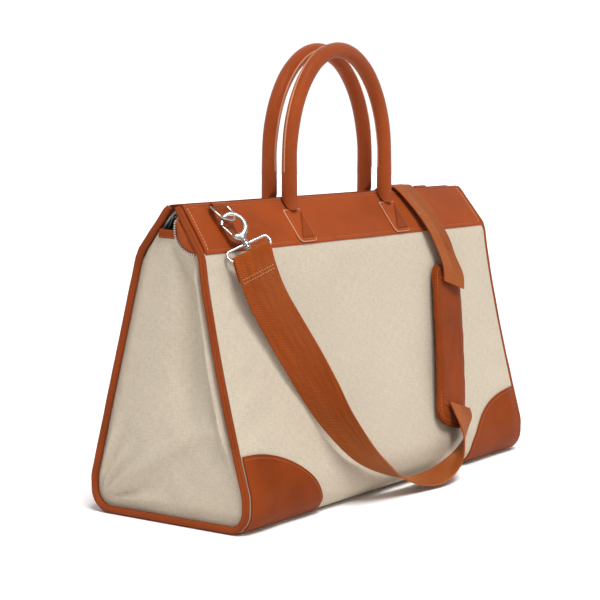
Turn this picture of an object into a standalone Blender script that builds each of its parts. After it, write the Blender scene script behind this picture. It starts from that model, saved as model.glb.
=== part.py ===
"""Doctor bag: canvas body with leather trim, a hinged two-lip mouth, rolled handles and a shoulder strap.

Metres, +Z up. X is the bag's length, -Y its front. The origin is the middle of the base, on the floor.
"""
import math

import bmesh
import bpy
from mathutils import Matrix, Vector

# ---- driving dimensions -------------------------------------------------------------------------
LENGTH = 0.500            # over the end pipings
TOP_LENGTH = 0.491        # along the lips' top edges
HEIGHT = 0.290            # to the lips' top edges
BASE_HALF = 0.087         # depth of the front from the middle at the fullest, just above the base
BACK_BASE_HALF = 0.098    # the back stands out further
BAND_HALF = 0.039         # half depth at the lower edge of the leather bands
BAND_Z = 0.247            # height of that edge
LIP_HALF = 0.007          # half of the depth over both closed lips
FULL_Z = 0.035            # height where the sides start to lean in
CORNER_R = 0.022          # lower side corners
LEAN_POWER = 1.25         # how the lean eases off towards the bands
BACK_LEAN_POWER = 1.0
GUSSET_X = 0.2425         # the end panels' inner faces
TONGUE_TOP = 0.2680       # the end panels' bound edges between the lips
TONGUE_HALF = 0.0138
FACING_X = -0.2458        # inner face of the half-moon facing, outside the left end panel
CANVAS_T = 0.0016
LEATHER_T = 0.0020
PIPING_R = 0.0035
GAP = 0.0003              # between pieces that touch

FRAME_WIRE_R = 0.0020     # steel wire in each lip
FRAME_DEPTH = 0.0043      # wire's centre below the band's outer face
PIVOT_DEPTH = 0.0062      # the hinge line below the band's outer face
HANDLE_R = 0.0076
HANDLE_Y = 0.0150         # handle's plane
HANDLE_HALF_SPAN = 0.083
HANDLE_SHIFT = -0.004     # the handle sits a little off the middle
HANDLE_TOP = 0.4317       # centre line at the crown
HANDLE_SPRING_Z = 0.325   # where the straight legs turn into the arch
TAB_HALF_WIDTH = 0.0137

RING_X = -0.1985          # chape and D ring, near the lip's end
RING_WIRE_R = 0.00125
RING_HALF_WIDTH = 0.0115
RING_SIDE = 0.008         # straight part of the D's sides
RING_TILT = math.radians(15.6)
CHAPE_WIDTH = 0.0200
CHAPE_FOLD_S = 0.0455     # place of the fold along the band
CHAPE_FOLD_N = 0.0056     # and its distance from the band

STRAP_WIDTH = 0.038
STRAP_T = 0.0018
PAD_WIDTH = 0.056
PAD_T = 0.006

LIP_RISE = Vector((0, BAND_HALF - LIP_HALF, HEIGHT - BAND_Z))
SLOPE = LIP_RISE.length   # width of a band, lower edge to lip
UP = LIP_RISE.normalized()
OUT = Vector((0, -UP.z, UP.y))
END_X = LENGTH / 2
PANEL_HALF = END_X - 2 * PIPING_R - GAP
TOP_PANEL_HALF = TOP_LENGTH / 2 - 2 * PIPING_R - GAP

# Strap's routes, as centre and the direction across the strap: from the front hook down across the
# face, round a hanging turn and up to the pad; then from the pad over both lips and down the back.
FRONT_ROUTE = [
    ((-0.2045, -0.0610, 0.2435), (0.783, -0.491, 0.383)),
    ((-0.2050, -0.0650, 0.2320), (0.790, -0.460, 0.400)),
    ((-0.1905, -0.0675, 0.2040), (0.760, -0.480, 0.437)),
    ((-0.1725, -0.0730, 0.1750), (0.680, -0.570, 0.460)),
    ((-0.1550, -0.0800, 0.1460), (0.550, -0.675, 0.490)),
    ((-0.1385, -0.0875, 0.1165), (0.320, -0.800, 0.510)),
    ((-0.1240, -0.0970, 0.0880), (0.000, -0.850, 0.528)),
    ((-0.0955, -0.1045, 0.0560), (-0.291, -0.771, 0.500)),
    ((-0.0620, -0.1050, 0.0350), (-0.560, -0.700, 0.400)),
    ((-0.0191, -0.1045, 0.0160), (-0.800, -0.580, 0.150)),
    ((0.0216, -0.1050, 0.0085), (-0.740, -0.650, -0.150)),
    ((0.0500, -0.1065, 0.0105), (-0.640, -0.740, -0.200)),
    ((0.0789, -0.1060, 0.0205), (-0.710, -0.690, -0.100)),
    ((0.0945, -0.1040, 0.0350), (-0.838, -0.532, 0.122)),
    ((0.1025, -0.1005, 0.0480), (-0.935, -0.330, 0.140)),
    ((0.1055, -0.0965, 0.0600), (-0.962, -0.030, 0.250)),
    ((0.1040, -0.0930, 0.0700), (-0.952, 0.080, 0.304)),
]
BACK_ROUTE = [
    ((0.1400, -0.0635, 0.1900), (0.952, -0.080, -0.304)),
    ((0.1445, -0.0595, 0.2050), (0.955, -0.080, -0.304)),
    ((0.1400, -0.0530, 0.2250), (0.945, -0.050, -0.320)),
    ((0.1335, -0.0475, 0.2440), (0.940, -0.120, -0.310)),
    ((0.1300, -0.0345, 0.2640), (0.945, -0.170, -0.270)),
    ((0.1270, -0.0190, 0.2825), (0.980, -0.080, -0.120)),
    ((0.1250, -0.0080, 0.2920), (1.000, 0.000, -0.020)),
    ((0.1240, 0.0000, 0.2930), (1.000, 0.000, 0.000)),
    ((0.1235, 0.0080, 0.2920), (1.000, 0.000, 0.000)),
    ((0.1220, 0.0190, 0.2825), (1.000, 0.000, 0.000)),
    ((0.1190, 0.0380, 0.2570), (1.000, 0.010, 0.020)),
    ((0.1160, 0.0510, 0.2300), (1.000, 0.020, 0.040)),
    ((0.1140, 0.0640, 0.1900), (1.000, 0.030, 0.040)),
    ((0.1150, 0.0830, 0.1300), (0.960, 0.250, 0.060)),
    ((0.1210, 0.1050, 0.0750), (0.740, 0.660, 0.110)),
    ((0.1360, 0.1185, 0.0420), (0.250, 0.960, 0.060)),
    ((0.1600, 0.1195, 0.0310), (-0.150, 0.988, -0.030)),
    ((0.1830, 0.1150, 0.0480), (-0.620, 0.780, 0.060)),
    ((0.1940, 0.0985, 0.0900), (-0.930, 0.360, 0.060)),
    ((0.2000, 0.0810, 0.1450), (-0.970, 0.220, 0.100)),
    ((0.2040, 0.0690, 0.2000), (-0.880, 0.400, 0.250)),
    ((0.2050, 0.0650, 0.2320), (-0.790, 0.460, 0.400)),
    ((0.2045, 0.0610, 0.2435), (-0.783, 0.491, 0.383)),
]
PAD_TOP = Vector((0.1456, -0.0505, 0.2070))
PAD_FOOT = Vector((0.0913, -0.0916, 0.0500))
ADJUSTER_STATION = 12     # the adjuster lies on this point of the back route

# Front hook as it hangs on the ring: its swivel, the way up to the ring and the way across
HOOK_SWIVEL = Vector((-0.2031, -0.0515, 0.2543))
HOOK_UP = Vector((0.075, 0.685, 0.724))
HOOK_ACROSS = Vector((0.783, -0.491, 0.383))


# ---- scene and materials ------------------------------------------------------------------------
for old in list(bpy.data.objects):
    bpy.data.objects.remove(old, do_unlink=True)
PARTS = bpy.data.collections.new("doctor_bag")
CUTTERS = bpy.data.collections.new("doctor_bag_cutters")
bpy.context.scene.collection.children.link(PARTS)
bpy.context.scene.collection.children.link(CUTTERS)

LOOKS = {
    "canvas": ((0.74, 0.68, 0.57), 0.95, 0.0),
    "leather": ((0.42, 0.13, 0.035), 0.48, 0.0),
    "webbing": ((0.46, 0.15, 0.04), 0.80, 0.0),
    "nickel": ((0.75, 0.74, 0.72), 0.22, 1.0),
    "steel": ((0.42, 0.42, 0.43), 0.40, 1.0),
    "zip_metal": ((0.50, 0.49, 0.47), 0.35, 1.0),
    "lining": ((0.06, 0.05, 0.06), 0.85, 0.0),
    "board": ((0.12, 0.10, 0.09), 0.80, 0.0),
}


def material(look, name):
    colour, roughness, metallic = LOOKS[look]
    made = bpy.data.materials.new(f"{name}_{look}")
    made.use_nodes = True
    shader = made.node_tree.nodes["Principled BSDF"]
    shader.inputs["Base Color"].default_value = (*colour, 1)
    shader.inputs["Roughness"].default_value = roughness
    shader.inputs["Metallic"].default_value = metallic
    made.diffuse_color = (*colour, 1)
    return made


# ---- helpers ------------------------------------------------------------------------------------
def add(name, data, look, frame=None, collection=None):
    """Put data in the scene under a name, at a frame."""
    piece = bpy.data.objects.new(name, data)
    (collection or PARTS).objects.link(piece)
    if look:
        data.materials.append(material(look, name))
    if frame is not None:
        piece.matrix_world = frame
    return piece


def axis_at(name, point, parent=None):
    """An empty on a joint's axis; what it carries moves with it."""
    empty = bpy.data.objects.new(name, None)
    empty.empty_display_size = 0.01
    PARTS.objects.link(empty)
    empty.parent = parent
    empty.location = point - place_of(parent)
    return empty


def place_of(empty):
    place = Vector((0, 0, 0))
    while empty is not None:
        place += empty.location
        empty = empty.parent
    return place


def hang(piece, empty):
    """Parent a piece to an axis empty and keep it where it is."""
    piece.parent = empty
    piece.matrix_parent_inverse = Matrix.Translation(-place_of(empty))
    return piece


def frame_of(origin, x_axis, y_axis, z_axis):
    frame = Matrix((x_axis, y_axis, z_axis)).transposed().to_4x4()
    frame.translation = origin
    return frame


def tube(name, points, radius, look, cyclic=False, sides=2, frame=None):
    curve = bpy.data.curves.new(name, "CURVE")
    curve.dimensions = "3D"
    curve.bevel_depth = radius
    curve.bevel_resolution = sides
    curve.use_fill_caps = not cyclic
    line = curve.splines.new("POLY")
    line.points.add(len(points) - 1)
    for slot, point in zip(line.points, points):
        slot.co = (*point, 1)
    line.use_cyclic_u = cyclic
    return add(name, curve, look, frame)


def plate(name, outline, thickness, look, frame):
    """A flat outline with thickness; the frame's Z is the plate's normal, at its lower face."""
    curve = bpy.data.curves.new(name, "CURVE")
    curve.dimensions = "2D"
    curve.fill_mode = "BOTH"
    curve.extrude = thickness / 2
    line = curve.splines.new("POLY")
    line.points.add(len(outline) - 1)
    for slot, (u, v) in zip(line.points, outline):
        slot.co = (u, v, 0, 1)
    line.use_cyclic_u = True
    return add(name, curve, look, frame @ Matrix.Translation((0, 0, thickness / 2)))


def block(name, low, high, look, frame=None):
    mesh = bpy.data.meshes.new(name)
    shape = bmesh.new()
    size = Vector(high) - Vector(low)
    middle = (Vector(high) + Vector(low)) / 2
    bmesh.ops.create_cube(shape, size=1, matrix=Matrix.Translation(middle) @ Matrix.Diagonal((*size, 1)))
    shape.to_mesh(mesh)
    shape.free()
    return add(name, mesh, look, frame)


def rod(name, start, end, radius, look, segments=16, frame=None):
    mesh = bpy.data.meshes.new(name)
    shape = bmesh.new()
    way = Vector(end) - Vector(start)
    turn = way.to_track_quat("Z", "Y").to_matrix().to_4x4()
    place = Matrix.Translation((Vector(end) + Vector(start)) / 2) @ turn
    bmesh.ops.create_cone(shape, cap_ends=True, segments=segments, radius1=radius, radius2=radius,
                          depth=way.length, matrix=place)
    shape.to_mesh(mesh)
    shape.free()
    return add(name, mesh, look, frame)


def as_mesh(piece):
    """Turn a curve piece into a mesh with welded caps."""
    bpy.context.view_layer.update()
    seen = piece.evaluated_get(bpy.context.evaluated_depsgraph_get())
    mesh = bpy.data.meshes.new_from_object(seen)
    shape = bmesh.new()
    shape.from_mesh(mesh)
    bmesh.ops.remove_doubles(shape, verts=shape.verts, dist=1e-6)
    bmesh.ops.recalc_face_normals(shape, faces=shape.faces)
    shape.to_mesh(mesh)
    shape.free()
    name = piece.name
    matrix = piece.matrix_world.copy()
    bpy.data.objects.remove(piece, do_unlink=True)
    made = bpy.data.objects.new(name, mesh)
    made.matrix_world = matrix
    PARTS.objects.link(made)
    return made


def boolean(piece, other, operation):
    """Join or cut with another piece, which becomes a hidden tool."""
    if other.type == "CURVE":
        other = as_mesh(other)
    step = piece.modifiers.new(other.name, "BOOLEAN")
    step.operation = operation
    step.object = other
    step.solver = "EXACT"
    for holder in list(other.users_collection):
        holder.objects.unlink(other)
    CUTTERS.objects.link(other)
    other.hide_render = True
    other.display_type = "WIRE"
    return piece


def rounded(corners, radius, steps=5, closed=False):
    """A path through corners with each bend eased by a quadratic arc."""
    path = []
    count = len(corners)
    for i, here in enumerate(corners):
        here = Vector(here)
        if not closed and i in (0, count - 1):
            path.append(here)
            continue
        before = Vector(corners[i - 1]) - here
        after = Vector(corners[(i + 1) % count]) - here
        reach = min(radius, 0.45 * before.length, 0.45 * after.length)
        start = here + before.normalized() * reach
        end = here + after.normalized() * reach
        for k in range(steps):
            t = k / (steps - 1)
            path.append(start * (1 - t) ** 2 + here * 2 * t * (1 - t) + end * t ** 2)
    return path


# ---- section of the body ------------------------------------------------------------------------
def half_depth(z, side=-1):
    """Depth of the body's outer face from the middle, front or back, at a height above the corners."""
    base = BASE_HALF if side < 0 else BACK_BASE_HALF
    if z <= FULL_Z:
        return base
    u = min((z - FULL_Z) / (BAND_Z - FULL_Z), 1)
    return BAND_HALF + (base - BAND_HALF) * (1 - u) ** (LEAN_POWER if side < 0 else BACK_LEAN_POWER)


def side_section(inset, top, start_deg=-90.0, rises=9, side=-1):
    """One side's section as (depth, z), from the base's edge to a height, inset from the outer face."""
    points = []
    centre = (half_depth(0, side) - CORNER_R, CORNER_R)
    turns = 5
    for k in range(turns + 1):
        a = math.radians(start_deg - start_deg * k / turns)
        points.append((centre[0] + (CORNER_R - inset) * math.cos(a),
                       centre[1] + (CORNER_R - inset) * math.sin(a)))
    for k in range(1, rises + 1):
        z = CORNER_R + (top - CORNER_R) * k / rises
        slope = (half_depth(z + 0.002, side) - half_depth(z - 0.002, side)) / 0.004
        points.append((half_depth(z, side) - inset * math.hypot(1, slope), z))
    return points


def whole_section(inset, top, rises=9):
    """Both sides' section as (y, z), from the front's top under the base to the back's top."""
    front = side_section(inset, top, rises=rises)
    return [(-y, z) for y, z in front[::-1]] + side_section(inset, top, rises=rises, side=1)


def section_frame(x, side):
    """Frame whose plane is the end section at x: its x axis is the depth on one side, its y axis is up."""
    if side < 0:
        return frame_of((x, 0, 0), (0, -1, 0), (0, 0, 1), (-1, 0, 0))
    return frame_of((x, 0, 0), (0, 1, 0), (0, 0, 1), (1, 0, 0))


SIDES = (("front", Matrix.Identity(4), -1), ("back", Matrix.Rotation(math.pi, 4, "Z"), 1))


# ---- body ---------------------------------------------------------------------------------------
def canvas_panel(name, side):
    outer = side_section(0, BAND_Z - 0.003, side=side)
    inner = side_section(CANVAS_T, BAND_Z - 0.003, side=side)
    outline = outer + inner[::-1]
    frame = section_frame(-side * PANEL_HALF, side)
    plate(name, outline, 2 * PANEL_HALF, "canvas", frame)


def base_panel():
    front = -(BASE_HALF - CORNER_R - GAP)
    back = BACK_BASE_HALF - CORNER_R - GAP
    block("base_panel", (-PANEL_HALF, front, 0), (PANEL_HALF, back, CANVAS_T), "leather")
    block("base_board", (-0.237, front, CANVAS_T + GAP), (0.237, back, CANVAS_T + GAP + 0.002), "board")


def gusset(name, end):
    """End panel: fills the piping's ring and rises between the lips to its bound top edge."""
    outline = whole_section(2 * PIPING_R + GAP, 0.2375)
    outline += [(0.0296, BAND_Z), (TONGUE_HALF + 0.0016, TONGUE_TOP - 0.0023)]
    outline += [(-TONGUE_HALF - 0.0016, TONGUE_TOP - 0.0023), (-0.0296, BAND_Z)]
    frame = frame_of((end * GUSSET_X, 0, 0), (0, 1, 0), (0, 0, 1), (1, 0, 0))
    if end < 0:
        frame = frame @ Matrix.Translation((0, 0, -CANVAS_T))
    plate(name, outline, CANVAS_T, "canvas", frame)


def gusset_binding(name, end):
    """Leather folded over the gusset's top edge."""
    half, slot = 0.0018, 0.0011
    low, high = TONGUE_TOP - 0.0085, TONGUE_TOP
    outline = [(-half, low), (-slot, low), (-slot, high - 0.002), (slot, high - 0.002),
               (slot, low), (half, low), (half, high), (-half, high)]
    middle = end * (GUSSET_X + CANVAS_T / 2)
    frame = frame_of((middle, TONGUE_HALF, 0), (1, 0, 0), (0, 0, 1), (0, -1, 0))
    plate(name, outline, 2 * TONGUE_HALF, "leather", frame)


def end_piping(name, end):
    """Piping round one end: down the front, under the base and up the back."""
    path = whole_section(PIPING_R, BAND_Z - 0.0027)
    x = end * (END_X - PIPING_R)
    tube(name, [Vector((x, y, z)) for y, z in path], PIPING_R, "leather")


def corner_patch(name, side, end):
    """Leather on a lower corner of a panel, a quarter of an ellipse in outline."""
    wide, tall, thick = 0.112, 0.071, 0.0014
    outer = side_section(-GAP - thick, tall + 0.004, start_deg=-55, rises=3, side=side)
    inner = side_section(-GAP, tall + 0.004, start_deg=-55, rises=3, side=side)
    low = PANEL_HALF - wide
    frame = section_frame(side * low if end == side else -side * PANEL_HALF, side)
    piece = as_mesh(plate(name, outer + inner[::-1], wide, "leather", frame))
    keep = rod(f"{name}_outline", (0, 0, 0), (0, side * 0.12, 0), 1.0, None, 48)
    keep.matrix_world = Matrix.Translation((end * PANEL_HALF, 0, 0)) @ Matrix.Diagonal((wide, 1, tall, 1))
    boolean(piece, keep, "INTERSECT")


def lining():
    """Open-topped inner bag."""
    floor = 0.0052
    outline = [(y, max(z, floor)) for y, z in whole_section(0.006, 0.238)]
    reach = 0.2405
    shape = bmesh.new()
    rings = []
    for x in (-reach, reach):
        rings.append([shape.verts.new((x, y, z)) for y, z in outline])
    for k in range(len(outline) - 1):
        shape.faces.new((rings[0][k], rings[0][k + 1], rings[1][k + 1], rings[1][k]))
    for ring in rings:
        shape.faces.new(ring)
    bmesh.ops.recalc_face_normals(shape, faces=shape.faces)
    mesh = bpy.data.meshes.new("lining")
    shape.to_mesh(mesh)
    shape.free()
    piece = add("lining", mesh, "lining")
    skin = piece.modifiers.new("skin", "SOLIDIFY")
    skin.thickness = 0.0008
    skin.offset = -1
    skin.use_even_offset = True


def on_band(x, s, n):
    """A point of the front band: s up its slope from the lower edge, n out from its face."""
    return Vector((x, -BAND_HALF, BAND_Z)) + UP * s + OUT * n


def band_frame(x, s, n):
    return frame_of(on_band(x, s, n), (1, 0, 0), UP, OUT)


PIVOT = on_band(0, 0, -PIVOT_DEPTH)
EYE_R = 0.0032            # eye at each foot of the wire, and the link's ends


def mouth_stay(name, end):
    """Flat steel link across the end; the wires of both lips are riveted to it."""
    r = EYE_R
    outline = [(PIVOT.y - r * math.cos(a), r * math.sin(a)) for a in half_turn()]
    outline += [(-PIVOT.y + r * math.cos(a), -r * math.sin(a)) for a in half_turn()]
    x = 0.2335 if end > 0 else -0.2350
    frame = frame_of((x, 0, PIVOT.z), (0, 1, 0), (0, 0, 1), (1, 0, 0))
    plate(name, outline, 0.0015, "steel", frame)


def half_turn(steps=8):
    return [math.radians(-90 + 180 * k / steps) for k in range(steps + 1)]


def pivot_rivet(name, side, end):
    """Rivet that a lip's wire turns on: its shank reaches the stay, its head is outside the eye."""
    y = -side * PIVOT.y
    shank = rod(name, (end * 0.2353, y, PIVOT.z), (end * 0.2400, y, PIVOT.z), 0.0014, "steel", 12)
    head = rod(f"{name}_head", (end * 0.2396, y, PIVOT.z), (end * 0.2404, y, PIVOT.z), 0.0028, None, 16)
    boolean(shank, head, "UNION")


# ---- one lip of the mouth -----------------------------------------------------------------------
def lip_frame(side_name, turn, axis):
    """Steel wire: two legs and the bar along the lip, with an eye at each foot."""
    leg_x = 0.2375
    top_x = TOP_PANEL_HALF - 0.006
    low = on_band(0, 0.0030, -FRAME_DEPTH)
    high = on_band(0, SLOPE - 0.0060, -FRAME_DEPTH)
    corners = [(-leg_x, low.y, low.z), (-top_x, high.y, high.z), (top_x, high.y, high.z), (leg_x, low.y, low.z)]
    wire = as_mesh(tube(f"{side_name}_frame", rounded(corners, 0.008), FRAME_WIRE_R, "steel"))
    for end in (-1, 1):
        near = Vector((end * 0.2355, PIVOT.y, PIVOT.z))
        far = Vector((end * 0.2392, PIVOT.y, PIVOT.z))
        eye = rod(f"{side_name}_eye_{end}", near, far, EYE_R, None, 20)
        boolean(wire, eye, "UNION")
    hole = rod(f"{side_name}_eye_hole", (-0.3, PIVOT.y, PIVOT.z), (0.3, PIVOT.y, PIVOT.z), 0.0018, None, 16)
    boolean(wire, hole, "DIFFERENCE")
    wire.matrix_world = turn @ wire.matrix_world
    for step in wire.modifiers:
        step.object.matrix_world = turn @ step.object.matrix_world
    hang(wire, axis)


def band(side_name, turn, axis):
    """Leather band of a lip, its lower edge longer than its top edge."""
    foot = PANEL_HALF - GAP
    top = TOP_PANEL_HALF - GAP
    outline = [(-foot, 0.0006), (foot, 0.0006), (top, SLOPE), (-top, SLOPE)]
    frame = turn @ band_frame(0, 0, -LEATHER_T)
    hang(plate(f"{side_name}_band", outline, LEATHER_T, "leather", frame), axis)


def lip_piping(side_name, turn, axis, end, end_name):
    low = on_band(end * (END_X - PIPING_R), 0.0030, -PIPING_R)
    high = on_band(end * (TOP_LENGTH / 2 - PIPING_R), SLOPE - 0.0006, -PIPING_R)
    hang(tube(f"{side_name}_{end_name}_lip_piping", [low, high], PIPING_R, "leather", frame=turn), axis)


def facing_edge(extra, steps=9):
    """Bowed free edge of the end facing as (s, n), from the lower corner to the lip."""
    low, high, bow = 0.0060, 0.0420, 0.0095
    points = []
    for k in range(steps + 1):
        t = k / steps
        points.append((low + (high - low) * t, -0.0078 - bow * math.sin(math.pi * t) ** 0.8 - extra))
    return points


def other_side(point, side):
    """A point given on the front, or its mirror image on the back."""
    return Vector((point.x, -side * point.y, point.z))


def end_facing(axis):
    """Half-moon of leather at the front lip's left end, outside the gusset; the zip runs on round it."""
    outline = [(n, s) for s, n in facing_edge(0.0)]
    outline = [(-0.0074, outline[0][1])] + outline + [(-0.0074, outline[-1][1])]
    frame = frame_of(on_band(FACING_X, 0, 0), OUT, UP, (-1, 0, 0))
    hang(plate("front_end_facing", outline, 0.0012, "leather", frame), axis)


ZIP_Z = BAND_Z + UP.z * 0.0450 - 0.0051


def zip_row(side_name, side, axis):
    """Zip teeth as one bead along the lip; the front row first comes up round the end facing."""
    path = [on_band(FACING_X - 0.0008, s, n) for s, n in facing_edge(0.0016)] if side < 0 else []
    path += [Vector((-0.2370, -0.0030, ZIP_Z)), Vector((-0.2300, -0.0019, ZIP_Z))]
    path.append(Vector((0.2190 if side < 0 else 0.2330, -0.0019, ZIP_Z)))
    path = [other_side(point, side) for point in path]
    hang(tube(f"{side_name}_zip_teeth", path, 0.0011, "zip_metal", sides=1), axis)
    low, high = sorted((side * 0.0034, side * 0.0078))
    tape = block(f"{side_name}_zip_tape", (-0.228, low, ZIP_Z - 0.0005), (0.228, high, ZIP_Z + 0.0005), "leather")
    hang(tape, axis)


def lip_lining(side_name, turn, axis):
    outline = [(-0.231, 0.004), (0.231, 0.004), (0.228, 0.034), (-0.228, 0.034)]
    frame = turn @ band_frame(0, 0, -0.0080)
    hang(plate(f"{side_name}_lip_lining", outline, 0.0008, "lining", frame), axis)


def handle_tabs(side_name, turn, axis, side):
    """Flat ends of the handle, sewn to the band."""
    w, low, high, cut = TAB_HALF_WIDTH, 0.0015, 0.0305, 0.004
    outline = [(-w, low + cut), (-w + cut, low), (w - cut, low), (w, low + cut), (w, high), (-w, high)]
    for end, end_name in ((-1, "left"), (1, "right")):
        x = HANDLE_SHIFT - side * end * HANDLE_HALF_SPAN
        frame = turn @ band_frame(x, 0, GAP)
        hang(plate(f"{side_name}_{end_name}_handle_tab", outline, LEATHER_T, "leather", frame), axis)


def chape(side_name, turn, axis):
    """Doubled leather strap sewn to the band, folded round the D ring's bar."""
    w = CHAPE_WIDTH / 2
    outline = [(-w * math.cos(a), 0.014 + w * math.sin(a)) for a in [math.radians(-k * 22.5) for k in range(9)]]
    outline = [(u, v) for u, v in outline] + [(w, CHAPE_FOLD_S), (-w, CHAPE_FOLD_S)]
    strap = as_mesh(plate(f"{side_name}_chape", outline, 0.0030, "leather", band_frame(RING_X, 0, GAP)))
    fold = rod(f"{side_name}_chape_fold", on_band(RING_X - w, CHAPE_FOLD_S, CHAPE_FOLD_N),
               on_band(RING_X + w, CHAPE_FOLD_S, CHAPE_FOLD_N), 0.0034, None, 20)
    bore = rod(f"{side_name}_chape_bore", on_band(RING_X - 0.02, CHAPE_FOLD_S, CHAPE_FOLD_N),
               on_band(RING_X + 0.02, CHAPE_FOLD_S, CHAPE_FOLD_N), RING_WIRE_R + GAP, None, 16)
    boolean(strap, fold, "UNION")
    boolean(strap, bore, "DIFFERENCE")
    strap.matrix_world = turn @ strap.matrix_world
    for step in strap.modifiers:
        step.object.matrix_world = turn @ step.object.matrix_world
    hang(strap, axis)


# ---- pieces with joints of their own ------------------------------------------------------------
def ring_axis():
    return on_band(RING_X, CHAPE_FOLD_S, CHAPE_FOLD_N)


def ring_down():
    return -UP * math.cos(RING_TILT) + OUT * math.sin(RING_TILT)


def ring_low_point():
    return ring_axis() + ring_down() * (RING_SIDE + RING_HALF_WIDTH)


def d_ring(side_name, turn, axis):
    """D ring: its bar in the chape's fold, its bow hanging out from the band."""
    down = ring_down()
    start = ring_axis()
    path = [start + Vector((-RING_HALF_WIDTH, 0, 0))]
    for k in range(13):
        a = math.pi * k / 12
        path.append(start + down * (RING_SIDE + RING_HALF_WIDTH * math.sin(a))
                    + Vector((-RING_HALF_WIDTH * math.cos(a), 0, 0)))
    path.append(start + Vector((RING_HALF_WIDTH, 0, 0)))
    hang(tube(f"{side_name}_d_ring", path, RING_WIRE_R, "nickel", cyclic=True, frame=turn), axis)


def handle(side_name, turn, axis):
    """Rolled leather handle: two legs on the band and an arch, its feet cut to the band's slope."""
    legs = []
    for k in range(13):
        a = math.pi * k / 12
        legs.append(Vector((HANDLE_SHIFT - HANDLE_HALF_SPAN * math.cos(a), -HANDLE_Y,
                            HANDLE_SPRING_Z + (HANDLE_TOP - HANDLE_SPRING_Z) * math.sin(a))))
    foot_z = 0.262
    path = [Vector((legs[0].x, -HANDLE_Y, foot_z)), Vector((legs[0].x, -HANDLE_Y, 0.296))] + legs
    path += [Vector((legs[-1].x, -HANDLE_Y, 0.296)), Vector((legs[-1].x, -HANDLE_Y, foot_z))]
    piece = as_mesh(tube(f"{side_name}_handle", path, HANDLE_R, "leather", sides=3))
    trim = block(f"{side_name}_handle_trim", (-0.15, -0.06, -0.05), (0.15, 0.06, 0.0), None,
                 band_frame(0, 0, 0.0030))
    boolean(piece, trim, "DIFFERENCE")
    piece.matrix_world = turn @ piece.matrix_world
    trim.matrix_world = turn @ trim.matrix_world
    hang(piece, axis)


def handle_axis_point():
    return on_band(HANDLE_SHIFT, 0.0312, 0.0030)


def hook_frame():
    """Hook's own frame: origin at the swivel, +Z to the eye, +X across."""
    z_axis = HOOK_UP.normalized()
    x_axis = (HOOK_ACROSS - z_axis * HOOK_ACROSS.dot(z_axis)).normalized()
    return frame_of(HOOK_SWIVEL, x_axis, z_axis.cross(x_axis), z_axis)


BAR_DROP = 0.0105         # swivel to the strap's bar
EYE_TOP = 0.0345          # swivel to the eye's centre line at the top
EYE_LOW = 0.0100
EYE_HALF = 0.0100
HOOK_WIRE_R = 0.0016
GATE_FOOT = Vector((-0.0068, 0, 0.0150))
GATE_TIP = Vector((-0.0093, 0, 0.0257))


def eye_point(a):
    """The eye's centre line, an egg that is wider below its middle; a = 0 is +X, 90 degrees the top."""
    middle = (EYE_TOP + EYE_LOW) / 2
    return Vector((EYE_HALF * math.cos(a), 0, middle + (EYE_TOP - EYE_LOW) / 2 * math.sin(a)))


def snap_hook(side_name, frame, axis):
    """Snap hook: egg-shaped eye open at the gate, shoulder, and the swivel's post with its head."""
    path = [eye_point(math.radians(a)) for a in range(-112, 159, 15)]
    hook = as_mesh(tube(f"{side_name}_snap_hook", path, HOOK_WIRE_R, "nickel", frame=frame))
    shoulder = rod(f"{side_name}_hook_shoulder", (0, 0, 0.0035), (0, 0, 0.0125), 0.0040, None, 16, frame)
    post = rod(f"{side_name}_hook_post", (0, 0, -0.0035), (0, 0, 0.0040), 0.0015, None, 12, frame)
    head = rod(f"{side_name}_hook_head", (0, 0, -0.0048), (0, 0, -0.0030), 0.0026, None, 12, frame)
    for extra in (shoulder, post, head):
        boolean(hook, extra, "UNION")
    hang(hook, axis)


def gate(side_name, frame, axis):
    """Spring gate that closes the eye's left side."""
    hang(tube(f"{side_name}_hook_gate", [GATE_FOOT, GATE_TIP], 0.0011, "nickel", frame=frame), axis)


def strap_loop(side_name, frame, axis):
    """Rectangular strap loop with the swivel's boss on its top bar."""
    half, top, low = 0.0212, 0.0, -BAR_DROP
    corners = [(-half, 0, top), (half, 0, top), (half, 0, low), (-half, 0, low)]
    loop = as_mesh(tube(f"{side_name}_strap_loop", rounded(corners, 0.005, 4, True), 0.0013, "nickel",
                        cyclic=True, frame=frame))
    boss = rod(f"{side_name}_loop_boss", (0, 0, -0.0022), (0, 0, 0.0022), 0.0034, None, 16, frame)
    bore = rod(f"{side_name}_loop_bore", (0, 0, -0.01), (0, 0, 0.01), 0.0018, None, 16, frame)
    boolean(loop, boss, "UNION")
    boolean(loop, bore, "DIFFERENCE")
    hang(loop, axis)


def zip_slider(lip_axis):
    """Slider on the back row's end, and its puller lying between the lips."""
    z = ZIP_Z
    x = 0.226
    travel = axis_at("zip_travel", Vector((x, 0.0, z)), lip_axis)
    lower = block("zip_slider", (x - 0.005, -0.0006, z - 0.0028), (x + 0.005, 0.0042, z - 0.0016), "zip_metal")
    upper = block("slider_top", (x - 0.005, -0.0006, z + 0.0016), (x + 0.005, 0.0042, z + 0.0028), None)
    post = block("slider_post", (x - 0.002, -0.0005, z - 0.0020), (x + 0.002, 0.0005, z + 0.0020), None)
    boolean(lower, upper, "UNION")
    boolean(lower, post, "UNION")
    hang(lower, travel)
    pin_z = z + 0.0028 + GAP + 0.0007
    flip = axis_at("puller_axis", Vector((x, 0.0, pin_z)), travel)
    puller = block("zip_puller", (x - 0.026, -0.0026, pin_z - 0.0006), (x - 0.0006, 0.0026, pin_z + 0.0006),
                   "zip_metal")
    hang(puller, flip)


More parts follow.
